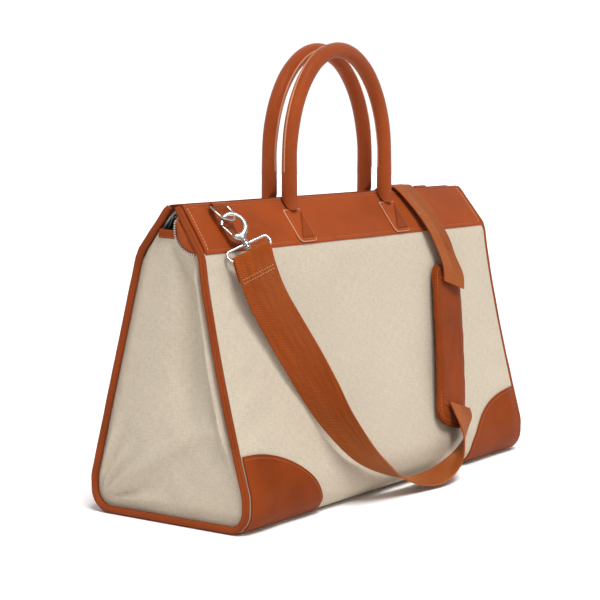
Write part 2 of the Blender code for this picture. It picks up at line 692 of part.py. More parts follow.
# ---- strap --------------------------------------------------------------------------------------
def smooth_route(route, per_span):
    """Catmull-Rom through the stations, centres and directions alike."""
    count = len(route)
    centres = [Vector(c) for c, _ in route]
    across = [Vector(w).normalized() for _, w in route]
    stations = []
    for i in range(count - 1):
        for k in range(per_span if i < count - 2 else per_span + 1):
            t = k / per_span
            stations.append((blend(centres, i, t), blend(across, i, t).normalized()))
    return stations


def blend(values, i, t):
    a, b = values[max(i - 1, 0)], values[i]
    c, d = values[i + 1], values[min(i + 2, len(values) - 1)]
    return (b * 2 + (c - a) * t + (a * 2 - b * 5 + c * 4 - d) * t ** 2 + (b * 3 - a - c * 3 + d) * t ** 3) / 2


def ribbon(name, route, per_span=3):
    """A strap lofted along its route: a flat section that turns with the direction across it."""
    stations = smooth_route(route, per_span)
    shape = bmesh.new()
    rings = []
    for i, (centre, across) in enumerate(stations):
        ahead = stations[min(i + 1, len(stations) - 1)][0] - stations[max(i - 1, 0)][0]
        normal = ahead.cross(across).normalized() * (STRAP_T / 2)
        side = across * (STRAP_WIDTH / 2)
        rings.append([shape.verts.new(centre + side * u + normal * v) for u, v in ((-1, -1), (1, -1), (1, 1), (-1, 1))])
    for one, two in zip(rings, rings[1:]):
        for k in range(4):
            m = (k + 1) % 4
            shape.faces.new((one[k], one[m], two[m], two[k]))
    shape.faces.new(rings[0][::-1])
    shape.faces.new(rings[-1])
    bmesh.ops.recalc_face_normals(shape, faces=shape.faces)
    mesh = bpy.data.meshes.new(name)
    shape.to_mesh(mesh)
    shape.free()
    add(name, mesh, "webbing")


def shoulder_pad():
    down = (PAD_FOOT - PAD_TOP).normalized()
    out = Vector((0, -1, 0))
    out = (out - down * out.dot(down)).normalized()
    side = down.cross(out)
    half = (PAD_FOOT - PAD_TOP).length / 2
    w = PAD_WIDTH / 2
    outline = [(p.x, p.y) for p in rounded([(-w, -half, 0), (w, -half, 0), (w, half, 0), (-w, half, 0)], 0.016, 5, True)]
    middle = (PAD_FOOT + PAD_TOP) / 2 + out * PAD_T / 2
    plate("shoulder_pad", outline, PAD_T, "leather", frame_of(middle, side, -down, side.cross(-down)))


def adjuster():
    """Three-bar slide, flat on the strap's outer face."""
    centre, across = (Vector(v) for v in BACK_ROUTE[ADJUSTER_STATION])
    across.normalize()
    ahead = (Vector(BACK_ROUTE[ADJUSTER_STATION + 1][0]) - Vector(BACK_ROUTE[ADJUSTER_STATION - 1][0])).normalized()
    along = (ahead - across * ahead.dot(across)).normalized()
    out = across.cross(along)
    if out.y < 0:
        along = -along
        out = -out
    frame = frame_of(centre + out * (STRAP_T / 2 + 0.0012), across, along, out)
    w, h = 0.0235, 0.0120
    outline = [(p.x, p.y) for p in rounded([(-w, -h, 0), (w, -h, 0), (w, h, 0), (-w, h, 0)], 0.004, 4, True)]
    piece = as_mesh(plate("strap_adjuster", outline, 0.0022, "nickel", frame))
    for k, low in enumerate((-0.0095, 0.0015)):
        slot = block(f"adjuster_slot_{k}", (-0.0200, low, -0.01), (0.0200, low + 0.008, 0.01), None, frame)
        boolean(piece, slot, "DIFFERENCE")


# ---- assembly -----------------------------------------------------------------------------------
def build_body():
    canvas_panel("front_panel", -1)
    canvas_panel("back_panel", 1)
    base_panel()
    lining()
    for end_name, end in (("left", -1), ("right", 1)):
        gusset(f"{end_name}_gusset", end)
        gusset_binding(f"{end_name}_gusset_binding", end)
        end_piping(f"{end_name}_end_piping", end)
        mouth_stay(f"{end_name}_mouth_stay", end)
        for side_name, _, side in SIDES:
            corner_patch(f"{side_name}_{end_name}_corner_patch", side, end)
            pivot_rivet(f"{side_name}_{end_name}_frame_rivet", side, end)


def build_lip(side_name, turn, side):
    axis = axis_at(f"{side_name}_mouth_axis", turn @ PIVOT)
    lip_frame(side_name, turn, axis)
    band(side_name, turn, axis)
    for end_name, end in (("left", -1), ("right", 1)):
        lip_piping(side_name, turn, axis, -side * end, end_name)
    if side < 0:
        end_facing(axis)
    zip_row(side_name, side, axis)
    lip_lining(side_name, turn, axis)
    handle_tabs(side_name, turn, axis, side)
    chape(side_name, turn, axis)
    handle(side_name, turn, axis_at(f"{side_name}_handle_axis", turn @ handle_axis_point(), axis))
    d_ring(side_name, turn, axis_at(f"{side_name}_ring_axis", turn @ ring_axis(), axis))


def build_hook(side_name, turn):
    """Hook hanging on the D ring's bow, with its gate, and the loop that turns on its post."""
    frame = turn @ hook_frame()
    hanger = axis_at(f"{side_name}_hook_axis", turn @ ring_low_point(), bpy.data.objects[f"{side_name}_ring_axis"])
    snap_hook(side_name, frame, hanger)
    gate(side_name, frame, axis_at(f"{side_name}_gate_axis", frame @ GATE_FOOT, hanger))
    strap_loop(side_name, frame, axis_at(f"{side_name}_swivel_axis", frame.translation, hanger))


build_body()
for lip_name, lip_turn, lip_side in SIDES:
    build_lip(lip_name, lip_turn, lip_side)
    build_hook(lip_name, lip_turn)
zip_slider(bpy.data.objects["back_mouth_axis"])
ribbon("strap_front", FRONT_ROUTE)
ribbon("strap_back", BACK_ROUTE)
shoulder_pad()
adjuster()
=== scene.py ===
"""Looks of the doctor bag: canvas shells, leather trim, zip, hardware and webbing around the CAD frame."""

import math

import bmesh
import bpy
import numpy as np
from mathutils import Matrix, Vector, noise


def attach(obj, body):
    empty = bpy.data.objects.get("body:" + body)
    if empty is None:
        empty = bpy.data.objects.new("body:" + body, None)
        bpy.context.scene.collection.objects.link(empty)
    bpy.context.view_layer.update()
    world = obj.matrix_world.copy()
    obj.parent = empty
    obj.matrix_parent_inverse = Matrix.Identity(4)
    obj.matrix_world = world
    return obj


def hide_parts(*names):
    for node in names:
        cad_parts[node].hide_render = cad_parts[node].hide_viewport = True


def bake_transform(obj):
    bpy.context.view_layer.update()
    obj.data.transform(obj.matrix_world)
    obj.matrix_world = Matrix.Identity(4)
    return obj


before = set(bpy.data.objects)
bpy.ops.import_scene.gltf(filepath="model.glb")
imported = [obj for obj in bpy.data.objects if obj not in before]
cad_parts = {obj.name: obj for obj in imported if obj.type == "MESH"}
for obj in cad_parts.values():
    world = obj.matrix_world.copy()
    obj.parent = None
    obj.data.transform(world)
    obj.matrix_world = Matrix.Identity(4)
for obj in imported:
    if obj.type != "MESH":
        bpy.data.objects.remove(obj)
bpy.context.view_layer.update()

# ---- driving dimensions, as in the part ----------------------------------------------------------
LENGTH, TOP_LENGTH, HEIGHT = 0.500, 0.491, 0.290
BASE_HALF, BACK_BASE_HALF, BAND_HALF, BAND_Z, LIP_HALF = 0.087, 0.098, 0.039, 0.247, 0.007
FULL_Z, CORNER_R, LEAN_POWER, BACK_LEAN_POWER = 0.035, 0.022, 1.25, 1.0
GUSSET_X, TONGUE_TOP, TONGUE_HALF, FACING_X = 0.2425, 0.2680, 0.0138, -0.2458
PIPING_R = 0.0035
GAP = 0.0003
END_X = LENGTH / 2
PANEL_HALF = END_X - 2 * PIPING_R - GAP
TOP_PANEL_HALF = TOP_LENGTH / 2 - 2 * PIPING_R - GAP
HANDLE_R, HANDLE_Y, HANDLE_HALF_SPAN, HANDLE_SHIFT = 0.0076, 0.0150, 0.083, -0.004
HANDLE_TOP, HANDLE_SPRING_Z, TAB_HALF_WIDTH = 0.4317, 0.325, 0.0137
RING_X, RING_WIRE_R, RING_HALF_WIDTH, RING_SIDE = -0.1985, 0.00125, 0.0115, 0.008
RING_TILT = math.radians(15.6)
CHAPE_WIDTH, CHAPE_FOLD_S, CHAPE_FOLD_N = 0.0200, 0.0455, 0.0056
STRAP_WIDTH, STRAP_T = 0.038, 0.0018
PAD_WIDTH, PAD_T = 0.056, 0.006
HOOK_SWIVEL = Vector((-0.2031, -0.0515, 0.2543))
HOOK_UP = Vector((0.075, 0.685, 0.724))
HOOK_ACROSS = Vector((0.783, -0.491, 0.383))
BAR_DROP, EYE_TOP, EYE_LOW, EYE_HALF, HOOK_WIRE_R = 0.0105, 0.0345, 0.0100, 0.0100, 0.0016
GATE_FOOT, GATE_TIP = Vector((-0.0068, 0, 0.0150)), Vector((-0.0093, 0, 0.0257))
FRONT_ROUTE = [
    ((-0.2045, -0.0610, 0.2435), (0.783, -0.491, 0.383)),
    ((-0.2050, -0.0650, 0.2320), (0.790, -0.460, 0.400)),
    ((-0.1905, -0.0675, 0.2040), (0.760, -0.480, 0.437)),
    ((-0.1725, -0.0730, 0.1750), (0.680, -0.570, 0.460)),
    ((-0.1550, -0.0800, 0.1460), (0.550, -0.675, 0.490)),
    ((-0.1385, -0.0875, 0.1165), (0.320, -0.800, 0.510)),
    ((-0.1240, -0.0970, 0.0880), (0.000, -0.850, 0.528)),
    ((-0.0955, -0.1045, 0.0560), (-0.291, -0.771, 0.500)),
    ((-0.0620, -0.1050, 0.0350), (-0.560, -0.700, 0.400)),
    ((-0.0191, -0.1045, 0.0160), (-0.800, -0.580, 0.150)),
    ((0.0216, -0.1050, 0.0085), (-0.740, -0.650, -0.150)),
    ((0.0500, -0.1065, 0.0105), (-0.640, -0.740, -0.200)),
    ((0.0789, -0.1060, 0.0205), (-0.710, -0.690, -0.100)),
    ((0.0945, -0.1040, 0.0350), (-0.838, -0.532, 0.122)),
    ((0.1025, -0.1005, 0.0480), (-0.935, -0.330, 0.140)),
    ((0.1055, -0.0965, 0.0600), (-0.962, -0.030, 0.250)),
    ((0.1040, -0.0930, 0.0700), (-0.952, 0.080, 0.304)),
]
BACK_ROUTE = [
    ((0.1400, -0.0635, 0.1900), (0.952, -0.080, -0.304)),
    ((0.1445, -0.0595, 0.2050), (0.955, -0.080, -0.304)),
    ((0.1400, -0.0530, 0.2250), (0.945, -0.050, -0.320)),
    ((0.1335, -0.0475, 0.2440), (0.940, -0.120, -0.310)),
    ((0.1300, -0.0345, 0.2640), (0.945, -0.170, -0.270)),
    ((0.1270, -0.0190, 0.2825), (0.980, -0.080, -0.120)),
    ((0.1250, -0.0080, 0.2920), (1.000, 0.000, -0.020)),
    ((0.1240, 0.0000, 0.2930), (1.000, 0.000, 0.000)),
    ((0.1235, 0.0080, 0.2920), (1.000, 0.000, 0.000)),
    ((0.1220, 0.0190, 0.2825), (1.000, 0.000, 0.000)),
    ((0.1190, 0.0380, 0.2570), (1.000, 0.010, 0.020)),
    ((0.1160, 0.0510, 0.2300), (1.000, 0.020, 0.040)),
    ((0.1140, 0.0640, 0.1900), (1.000, 0.030, 0.040)),
    ((0.1150, 0.0830, 0.1300), (0.960, 0.250, 0.060)),
    ((0.1210, 0.1050, 0.0750), (0.740, 0.660, 0.110)),
    ((0.1360, 0.1185, 0.0420), (0.250, 0.960, 0.060)),
    ((0.1600, 0.1195, 0.0310), (-0.150, 0.988, -0.030)),
    ((0.1830, 0.1150, 0.0480), (-0.620, 0.780, 0.060)),
    ((0.1940, 0.0985, 0.0900), (-0.930, 0.360, 0.060)),
    ((0.2000, 0.0810, 0.1450), (-0.970, 0.220, 0.100)),
    ((0.2040, 0.0690, 0.2000), (-0.880, 0.400, 0.250)),
    ((0.2050, 0.0650, 0.2320), (-0.790, 0.460, 0.400)),
    ((0.2045, 0.0610, 0.2435), (-0.783, 0.491, 0.383)),
]
PAD_TOP, PAD_FOOT = Vector((0.1456, -0.0505, 0.2070)), Vector((0.0913, -0.0916, 0.0500))
ADJUSTER_STATION = 12
CANVAS_T, LINING_T, LINING_HALF = 0.0012, 0.0006, 0.2325
PATCH_WIDE, PATCH_TALL, PATCH_T = 0.1115, 0.0705, 0.0013
HEM = 0.0042
WEAVE_PITCH, RIB_PITCH, CORD_PITCH, STRIPE_PITCH = 0.0011, 0.0019, 0.0010, 0.0075
LOOP_HALF, LOOP_WIRE_R, GATE_R = 0.0212, 0.0013, 0.0012
SLIDER_X, FRONT_ZIP_END, BACK_ZIP_END = 0.226, 0.2190, 0.2330
FOLD_R, FOLD_BLEND = 0.0024, 0.036
HOOK_CUTS = (0.027, 0.037, 0.048)
STRAP_SETTLES = 0.050

RISE = Vector((0, BAND_HALF - LIP_HALF, HEIGHT - BAND_Z))
SLOPE = RISE.length
UP = RISE.normalized()
OUT = Vector((0, -UP.z, UP.y))
ZIP_Z = BAND_Z + UP.z * 0.0450 - 0.0051
TURN = Matrix.Rotation(math.pi, 4, "Z")
SIDES = (("front", Matrix.Identity(4), -1), ("back", TURN, 1))
ENDS = (("left", -1), ("right", 1))
X_AXIS = Vector((1, 0, 0))


# ---- materials -----------------------------------------------------------------------------------
class Nodes:
    """Short way to wire a procedural material."""

    def __init__(self, name):
        self.mat = bpy.data.materials.new(name)
        self.mat.use_nodes = True
        self.tree = self.mat.node_tree
        self.bsdf = self.tree.nodes["Principled BSDF"]

    def add(self, kind, settings=None, **inputs):
        node = self.tree.nodes.new(kind)
        for key, value in (settings or {}).items():
            setattr(node, key, value)
        for key, value in inputs.items():
            slot = node.inputs[int(key[1:])] if key[0] == "i" and key[1:].isdigit() else node.inputs[key]
            self.put(slot, value)
        return node

    def put(self, slot, value):
        if isinstance(value, bpy.types.NodeSocket):
            self.tree.links.new(value, slot)
        else:
            slot.default_value = value

    def opaque(self, colour):
        return colour if isinstance(colour, bpy.types.NodeSocket) else (*colour, 1)

    def math(self, operation, a, b=0.0, clamp=False):
        node = self.add("ShaderNodeMath", {"operation": operation, "use_clamp": clamp}, i0=a, i1=b)
        return node.outputs[0]

    def coords(self, kind="Object"):
        return self.add("ShaderNodeTexCoord").outputs[kind]

    def noise(self, vector, scale, detail=3.0, rough=0.55, distortion=0.0):
        node = self.add("ShaderNodeTexNoise", Vector=vector, Scale=scale, Detail=detail, Roughness=rough,
                        Distortion=distortion)
        return node.outputs["Fac"]

    def stretch(self, vector, scale):
        return self.add("ShaderNodeMapping", Vector=vector, Scale=scale).outputs[0]

    def ramp(self, factor, stops):
        node = self.add("ShaderNodeValToRGB", Fac=factor)
        ramp = node.color_ramp
        while len(ramp.elements) < len(stops):
            ramp.elements.new(0.5)
        for element, (place, colour) in zip(ramp.elements, stops):
            element.position = place
            element.color = (*colour, 1)
        return node.outputs[0]

    def mix(self, factor, a, b, mode="MIX"):
        node = self.add("ShaderNodeMix", {"data_type": "RGBA", "blend_type": mode})
        self.put(node.inputs[0], factor)
        self.put(node.inputs[6], self.opaque(a))
        self.put(node.inputs[7], self.opaque(b))
        return node.outputs[2]

    def bump(self, height, distance, strength=1.0, normal=None):
        node = self.add("ShaderNodeBump", Height=height, Distance=distance, Strength=strength)
        if normal is not None:
            self.put(node.inputs["Normal"], normal)
        return node.outputs[0]

    def finish(self, colour, roughness, normal=None, **constants):
        self.put(self.bsdf.inputs["Base Color"], self.opaque(colour))
        self.put(self.bsdf.inputs["Roughness"], roughness)
        if normal is not None:
            self.put(self.bsdf.inputs["Normal"], normal)
        for key, value in constants.items():
            self.bsdf.inputs[key.replace("_", " ")].default_value = value
        return self.mat


def scaled(colour, factor):
    return tuple(min(c * factor, 1.0) for c in colour)


def leather(name, colour, grain=0.00010, pebble=900.0, rough=0.42, spec=0.12):
    """Pebbled leather: cells with darker valleys, broad colour drift, fine pores."""
    n = Nodes(name)
    where = n.coords()
    cells = n.add("ShaderNodeTexVoronoi", {"feature": "DISTANCE_TO_EDGE"}, Vector=where, Scale=pebble)
    valley = n.ramp(cells.outputs["Distance"], [(0.0, (0, 0, 0)), (0.16, (1, 1, 1))])
    drift = n.noise(where, 16.0, 4.0, 0.6)
    fine = n.noise(where, 2600.0, 2.0)
    base = n.ramp(drift, [(0.30, scaled(colour, 0.80)), (0.52, colour), (0.75, scaled(colour, 1.16))])
    tone = n.mix(n.math("MULTIPLY", n.math("SUBTRACT", 1.0, valley), 0.30), base, scaled(colour, 0.55))
    shine = n.math("ADD", n.math("MULTIPLY", drift, 0.16), rough - 0.08)
    height = n.math("ADD", n.math("MULTIPLY", valley, 0.8), n.math("MULTIPLY", fine, 0.35))
    normal = n.bump(n.noise(where, 60.0, 3.0), 0.0006, 0.5, n.bump(height, grain))
    return n.finish(tone, shine, normal, Specular_IOR_Level=spec)


def canvas(name, colour):
    """Plain-woven canvas with slubs: threads both ways from the UV map, which is in metres."""
    n = Nodes(name)
    uv = n.coords("UV")
    split = n.add("ShaderNodeSeparateXYZ", Vector=uv)
    pitch = 2 * math.pi / WEAVE_PITCH
    wander = n.math("MULTIPLY", n.noise(uv, 300.0, 2.0), 2.0)
    warp = n.math("SINE", n.math("ADD", n.math("MULTIPLY", split.outputs[0], pitch), wander))
    weft = n.math("SINE", n.math("ADD", n.math("MULTIPLY", split.outputs[1], pitch), wander))
    weave = n.math("MULTIPLY", warp, weft)
    slub_a = n.noise(n.stretch(uv, (1500.0, 130.0, 1.0)), 1.0, 2.0)
    slub_b = n.noise(n.stretch(uv, (130.0, 1500.0, 1.0)), 1.0, 2.0)
    slubs = n.math("MULTIPLY", n.math("ADD", slub_a, slub_b), 0.5)
    broad = n.noise(uv, 26.0, 4.0)
    fleck = n.noise(uv, 1100.0, 3.0, 0.7)
    tone = n.ramp(slubs, [(0.30, scaled(colour, 0.76)), (0.50, colour), (0.68, scaled(colour, 1.14))])
    specks = n.ramp(fleck, [(0.52, (0, 0, 0)), (0.70, (1, 1, 1))])
    tone = n.mix(n.math("MULTIPLY", specks, 0.30), tone, scaled(colour, 0.52))
    tone = n.mix(n.math("MULTIPLY", broad, 0.16), tone, scaled(colour, 0.86))
    height = n.math("ADD", n.math("MULTIPLY", weave, 0.35), n.math("MULTIPLY", slubs, 1.6))
    normal = n.bump(n.noise(uv, 90.0, 3.0), 0.0009, 0.45, n.bump(height, 0.00022))
    return n.finish(tone, 0.92, normal, Sheen_Weight=0.06, Sheen_Roughness=0.5, Specular_IOR_Level=0.15)


def webbing(name, colour):
    """Herringbone-ribbed webbing: ribs lean one way on each half of its width."""
    n = Nodes(name)
    uv = n.coords("UV")
    split = n.add("ShaderNodeSeparateXYZ", Vector=uv)
    lean = n.math("MULTIPLY", n.math("ABSOLUTE", split.outputs[0]), 0.55)
    ribs = n.math("SINE", n.math("MULTIPLY", n.math("ADD", split.outputs[1], lean), 2 * math.pi / RIB_PITCH))
    cords = n.math("SINE", n.math("MULTIPLY", split.outputs[0], 2 * math.pi / CORD_PITCH))
    drift = n.noise(n.stretch(uv, (300.0, 18.0, 1.0)), 1.0, 3.0)
    tone = n.ramp(drift, [(0.30, scaled(colour, 0.78)), (0.55, colour), (0.75, scaled(colour, 1.22))])
    # painted shade: the webbing's colour is darkened in the hollows between its ribs
    painted_rib_shade = n.math("ADD", n.math("MULTIPLY", ribs, -0.5), 0.5)
    tone = n.mix(n.math("MULTIPLY", painted_rib_shade, 0.30), tone, scaled(colour, 0.55))
    height = n.math("ADD", ribs, n.math("MULTIPLY", cords, 0.5))
    normal = n.bump(height, 0.00030)
    return n.finish(tone, 0.40, normal, Sheen_Weight=0.45, Sheen_Roughness=0.35,
                    Sheen_Tint=(1.0, 0.42, 0.12, 1.0), Specular_IOR_Level=0.10)


def metal(name, colour, rough):
    n = Nodes(name)
    where = n.coords()
    scuff = n.noise(where, 420.0, 4.0, 0.65)
    tone = n.ramp(scuff, [(0.35, scaled(colour, 0.86)), (0.65, colour)])
    shine = n.math("ADD", n.math("MULTIPLY", scuff, 0.14), rough - 0.06)
    return n.finish(tone, shine, Metallic=1.0)


def striped(name, dark, pale):
    """Lining: dark twill with a narrow pale stripe at each pitch."""
    n = Nodes(name)
    uv = n.coords("UV")
    split = n.add("ShaderNodeSeparateXYZ", Vector=uv)
    place = n.math("FRACT", n.math("DIVIDE", split.outputs[0], STRIPE_PITCH))
    line = n.math("GREATER_THAN", place, 0.74)
    fuzz = n.noise(uv, 1400.0, 3.0)
    ground = n.mix(fuzz, scaled(dark, 0.7), scaled(dark, 1.4))
    tone = n.mix(line, ground, n.mix(fuzz, scaled(pale, 0.8), pale))
    return n.finish(tone, 0.85, n.bump(fuzz, 0.0001))


def thread(name, colour):
    n = Nodes(name)
    twist = n.noise(n.coords(), 3000.0, 2.0)
    tone = n.ramp(twist, [(0.3, scaled(colour, 0.7)), (0.7, scaled(colour, 1.15))])
    return n.finish(tone, 0.6, n.bump(twist, 0.00006))


def board(name, colour):
    n = Nodes(name)
    pulp = n.noise(n.coords(), 700.0, 5.0)
    tone = n.ramp(pulp, [(0.3, scaled(colour, 0.7)), (0.7, scaled(colour, 1.3))])
    return n.finish(tone, 0.8, n.bump(pulp, 0.0002))


TAN = (0.330, 0.0600, 0.0100)
MATS = {
    "band": leather("band_leather", TAN, 0.00008, 1300.0, 0.50),
    "trim": leather("trim_leather", scaled(TAN, 0.80), 0.00014, 1000.0, 0.46, 0.10),
    "handle": leather("handle_leather", scaled(TAN, 1.08), 0.00034, 700.0, 0.32, 0.14),
    "pad": leather("pad_leather", scaled(TAN, 0.74), 0.00012, 900.0, 0.42, 0.04),
    "edge": leather("edge_paint", (0.62, 0.27, 0.150), 0.00004, 1500.0, 0.40),
    "canvas": canvas("bag_canvas", (0.560, 0.481, 0.376)),
    "webbing": webbing("strap_webbing", (0.370, 0.070, 0.010)),
    "nickel": metal("nickel", (0.56, 0.54, 0.51), 0.20),
    "zip": metal("zip_nickel", (0.58, 0.55, 0.50), 0.34),
    "steel": metal("frame_steel", (0.42, 0.42, 0.43), 0.42),
    "lining": striped("stripe_lining", (0.018, 0.016, 0.020), (0.62, 0.55, 0.42)),
    "thread": thread("stitch_thread", (0.50, 0.16, 0.055)),
    "pale_thread": thread("pale_thread", (0.66, 0.34, 0.19)),
    "board": board("base_fibre", (0.12, 0.10, 0.09)),
}


# ---- mesh helpers --------------------------------------------------------------------------------
def place(name, mesh, mat, slot, nodes=(), angle=38, body=None):
    made = bpy.data.objects.new(name, mesh)
    bpy.context.scene.collection.objects.link(made)
    mesh.materials.append(MATS[mat])
    mesh.shade_smooth()
    mesh.set_sharp_from_angle(angle=math.radians(angle))
    if nodes:
        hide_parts(*nodes)
    if body:
        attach(made, body)
    return made


def mesh_of(name, shape):
    bmesh.ops.recalc_face_normals(shape, faces=shape.faces)
    mesh = bpy.data.meshes.new(name)
    shape.to_mesh(mesh)
    shape.free()
    return mesh


def lattice(name, outer, inner, uv):
    """Closed shell between two grids of points of the same size; uv gives metres on the cloth."""
    rows, cols = outer.shape[:2]
    points = np.concatenate([outer.reshape(-1, 3), inner.reshape(-1, 3)])
    size = rows * cols
    faces = []

    def spot(k, i, j):
        return k * size + i * cols + j

    for i in range(rows - 1):
        for j in range(cols - 1):
            quad = [(i, j), (i + 1, j), (i + 1, j + 1), (i, j + 1)]
            faces.append([spot(0, *q) for q in quad])
            faces.append([spot(1, *q) for q in quad[::-1]])
    rim = [(i, 0) for i in range(rows)] + [(rows - 1, j) for j in range(1, cols)]
    rim += [(i, cols - 1) for i in range(rows - 2, -1, -1)] + [(0, j) for j in range(cols - 2, 0, -1)]
    for a, b in zip(rim, rim[1:] + rim[:1]):
        faces.append([spot(0, *b), spot(0, *a), spot(1, *a), spot(1, *b)])
    mesh = bpy.data.meshes.new(name)
    mesh.from_pydata(points.tolist(), [], faces)
    layer = mesh.uv_layers.new(name="cloth")
    flat = np.concatenate([uv.reshape(-1, 2), uv.reshape(-1, 2)])
    index = np.empty(len(mesh.loops), int)
    mesh.loops.foreach_get("vertex_index", index)
    layer.data.foreach_set("uv", flat[index].astype(np.float32).ravel())
    shape = bmesh.new()
    shape.from_mesh(mesh)
    bmesh.ops.recalc_face_normals(shape, faces=shape.faces)
    shape.to_mesh(mesh)
    shape.free()
    return mesh


def shell(name, rows, columns, point, turned=False):
    """Closed shell over a grid of outer and inner points; turned swaps the cloth's two ways."""
    grid = np.array([[[tuple(p) for p in point(i, j)] for j in range(columns + 1)] for i in range(rows + 1)])
    uv = grid_uv(grid[:, :, 0])
    return lattice(name, grid[:, :, 0], grid[:, :, 1], uv[:, :, ::-1] if turned else uv)


def grid_uv(points):
    """Arc lengths along both ways of a grid."""
    along = np.zeros(points.shape[:2])
    across = np.zeros(points.shape[:2])
    along[1:] = np.cumsum(np.linalg.norm(np.diff(points, axis=0), axis=2), axis=0)
    across[:, 1:] = np.cumsum(np.linalg.norm(np.diff(points, axis=1), axis=2), axis=1)
    return np.stack([along, across], axis=2)


def sweep(name, path, ring, closed=False, radii=None, ups=None):
    """Sweep a closed ring of (side, up) offsets along a path, without twist unless ups are given."""
    path = [Vector(p) for p in path]
    count = len(path)
    shape = bmesh.new()
    layer = shape.loops.layers.uv.new("cloth")
    up = None
    rings = []
    lengths = measured(path)
    for i in range(count):
        before = path[(i - 1) % count] if closed else path[max(i - 1, 0)]
        after = path[(i + 1) % count] if closed else path[min(i + 1, count - 1)]
        ahead = (after - before).normalized()
        if ups is not None:
            up = ups[i]
        elif up is None:
            up = Vector((0, 0, 1)) if abs(ahead.z) < 0.9 else Vector((0, 1, 0))
        up = (up - ahead * up.dot(ahead)).normalized()
        side = ahead.cross(up)
        size = radii[i] if radii is not None else 1.0
        rings.append([shape.verts.new(path[i] + side * u * size + up * v * size) for u, v in ring])
    steps = list(zip(range(count), list(range(1, count)) + ([0] if closed else [])))
    if not closed:
        steps = steps[:count - 1]
    size = len(ring)
    for i, j in steps:
        for k in range(size):
            m = (k + 1) % size
            face = shape.faces.new((rings[i][k], rings[i][m], rings[j][m], rings[j][k]))
            far = lengths[j] if j else lengths[-1] + (path[0] - path[-1]).length
            corners = (k, lengths[i]), (k + 1, lengths[i]), (k + 1, far), (k, far)
            for loop, (u, v) in zip(face.loops, corners):
                loop[layer].uv = (u * 0.002, v)
    if not closed:
        shape.faces.new(rings[0][::-1])
        shape.faces.new(rings[-1])
    return mesh_of(name, shape)


def circle(radius, sides):
    turns = [2 * math.pi * k / sides for k in range(sides)]
    return [(radius * math.cos(a), radius * math.sin(a)) for a in turns]


def curve_through(points, per_span):
    """Catmull-Rom through points of any size."""
    values = [np.array(p, float) for p in points]
    made = []
    for i in range(len(values) - 1):
        a, b = values[max(i - 1, 0)], values[i]
        c, d = values[i + 1], values[min(i + 2, len(values) - 1)]
        square, cube = 2 * a - 5 * b + 4 * c - d, 3 * b - a - 3 * c + d
        for t in (k / per_span for k in range(per_span)):
            made.append((2 * b + (c - a) * t + square * t ** 2 + cube * t ** 3) / 2)
    made.append(values[-1])
    return made


def extruded(name, outline, low, high, frame_at, bevel=0.0004, segments=2):
    """A flat outline with rounded edges; outline is (u, v), low and high are heights along the frame's Z."""
    shape = bmesh.new()
    lower = [shape.verts.new((u, v, low)) for u, v in outline]
    face = shape.faces.new(lower)
    made = bmesh.ops.extrude_face_region(shape, geom=[face])
    for v in made["geom"]:
        if isinstance(v, bmesh.types.BMVert):
            v.co.z = high
    bmesh.ops.recalc_face_normals(shape, faces=shape.faces)
    rims = [e for e in shape.edges if abs(e.verts[0].co.z - e.verts[1].co.z) < 1e-7]
    if bevel:
        bmesh.ops.bevel(shape, geom=rims, offset=bevel, segments=segments, affect="EDGES", profile=0.6)
    bmesh.ops.transform(shape, matrix=frame_at, verts=shape.verts)
    return mesh_of(name, shape)


def rounded(corners, radius, steps=5):
    """Closed run of 3-D corners with each corner rounded off."""
    path = []
    for i, here in enumerate(corners):
        here = Vector(here)
        before = Vector(corners[i - 1]) - here
        after = Vector(corners[(i + 1) % len(corners)]) - here
        reach = min(radius, 0.45 * before.length, 0.45 * after.length)
        start = here + before.normalized() * reach
        end = here + after.normalized() * reach
        for t in (k / (steps - 1) for k in range(steps)):
            path.append(start * (1 - t) ** 2 + here * 2 * t * (1 - t) + end * t ** 2)
    return path


def flat_outline(corners, radius, steps=4):
    return [(p.x, p.y) for p in rounded([(u, v, 0) for u, v in corners], radius, steps)]


def oblong(half_width, low, high):
    return [(-half_width, low), (half_width, low), (half_width, high), (-half_width, high)]


def skin(shape, rings, closed=False):
    """Faces between rings of vertices, with a cap at both ends unless the rings close."""
    for one, two in zip(rings, rings[1:] + (rings[:1] if closed else [])):
        for k in range(len(one)):
            m = (k + 1) % len(one)
            shape.faces.new((one[k], one[m], two[m], two[k]))
    if not closed:
        shape.faces.new(rings[0][::-1])
        shape.faces.new(rings[-1])


def loft(shape, levels, frame_at, sides=20, closed=False):
    """Turned or flattened solid along the frame's Z: a level is (height, half width, half thickness)."""
    skin(shape, [[shape.verts.new(frame_at @ Vector((w * u, t * v, z))) for u, v in circle(1, sides)]
                 for z, w, t in levels], closed)


def stitches(name, rows, body, size, mat="thread", slot="leather"):
    """Threads lying on a surface: a row is (path, normals), size is a stitch's (length, pitch, radius)."""
    length, pitch, radius = size
    shape = bmesh.new()
    for path, normals in rows:
        spots = measured(path)
        count = max(int(spots[-1] / pitch), 1)
        for k in range(count):
            middle = (k + 0.5) * spots[-1] / count
            start, end = (at_length(path, spots, middle + d) for d in (-length / 2, length / 2))
            normal = normals[min(range(len(spots)), key=lambda i: abs(spots[i] - middle))]
            stitch(shape, start, end, normal, radius)
    return place(name, mesh_of(name, shape), mat, slot, angle=60, body=body)


def facing(path, normal):
    """A row of stitches on a surface that faces one way."""
    return path, [normal] * len(path)


def measured(path):
    """Distance of each point along a path."""
    spots = [0.0]
    for a, b in zip(path, path[1:]):
        spots.append(spots[-1] + (b - a).length)
    return spots


def at_length(path, spots, distance):
    distance = min(max(distance, 0.0), spots[-1])
    for i in range(len(spots) - 1):
        if distance <= spots[i + 1]:
            t = (distance - spots[i]) / max(spots[i + 1] - spots[i], 1e-9)
            return path[i].lerp(path[i + 1], t)
    return path[-1]


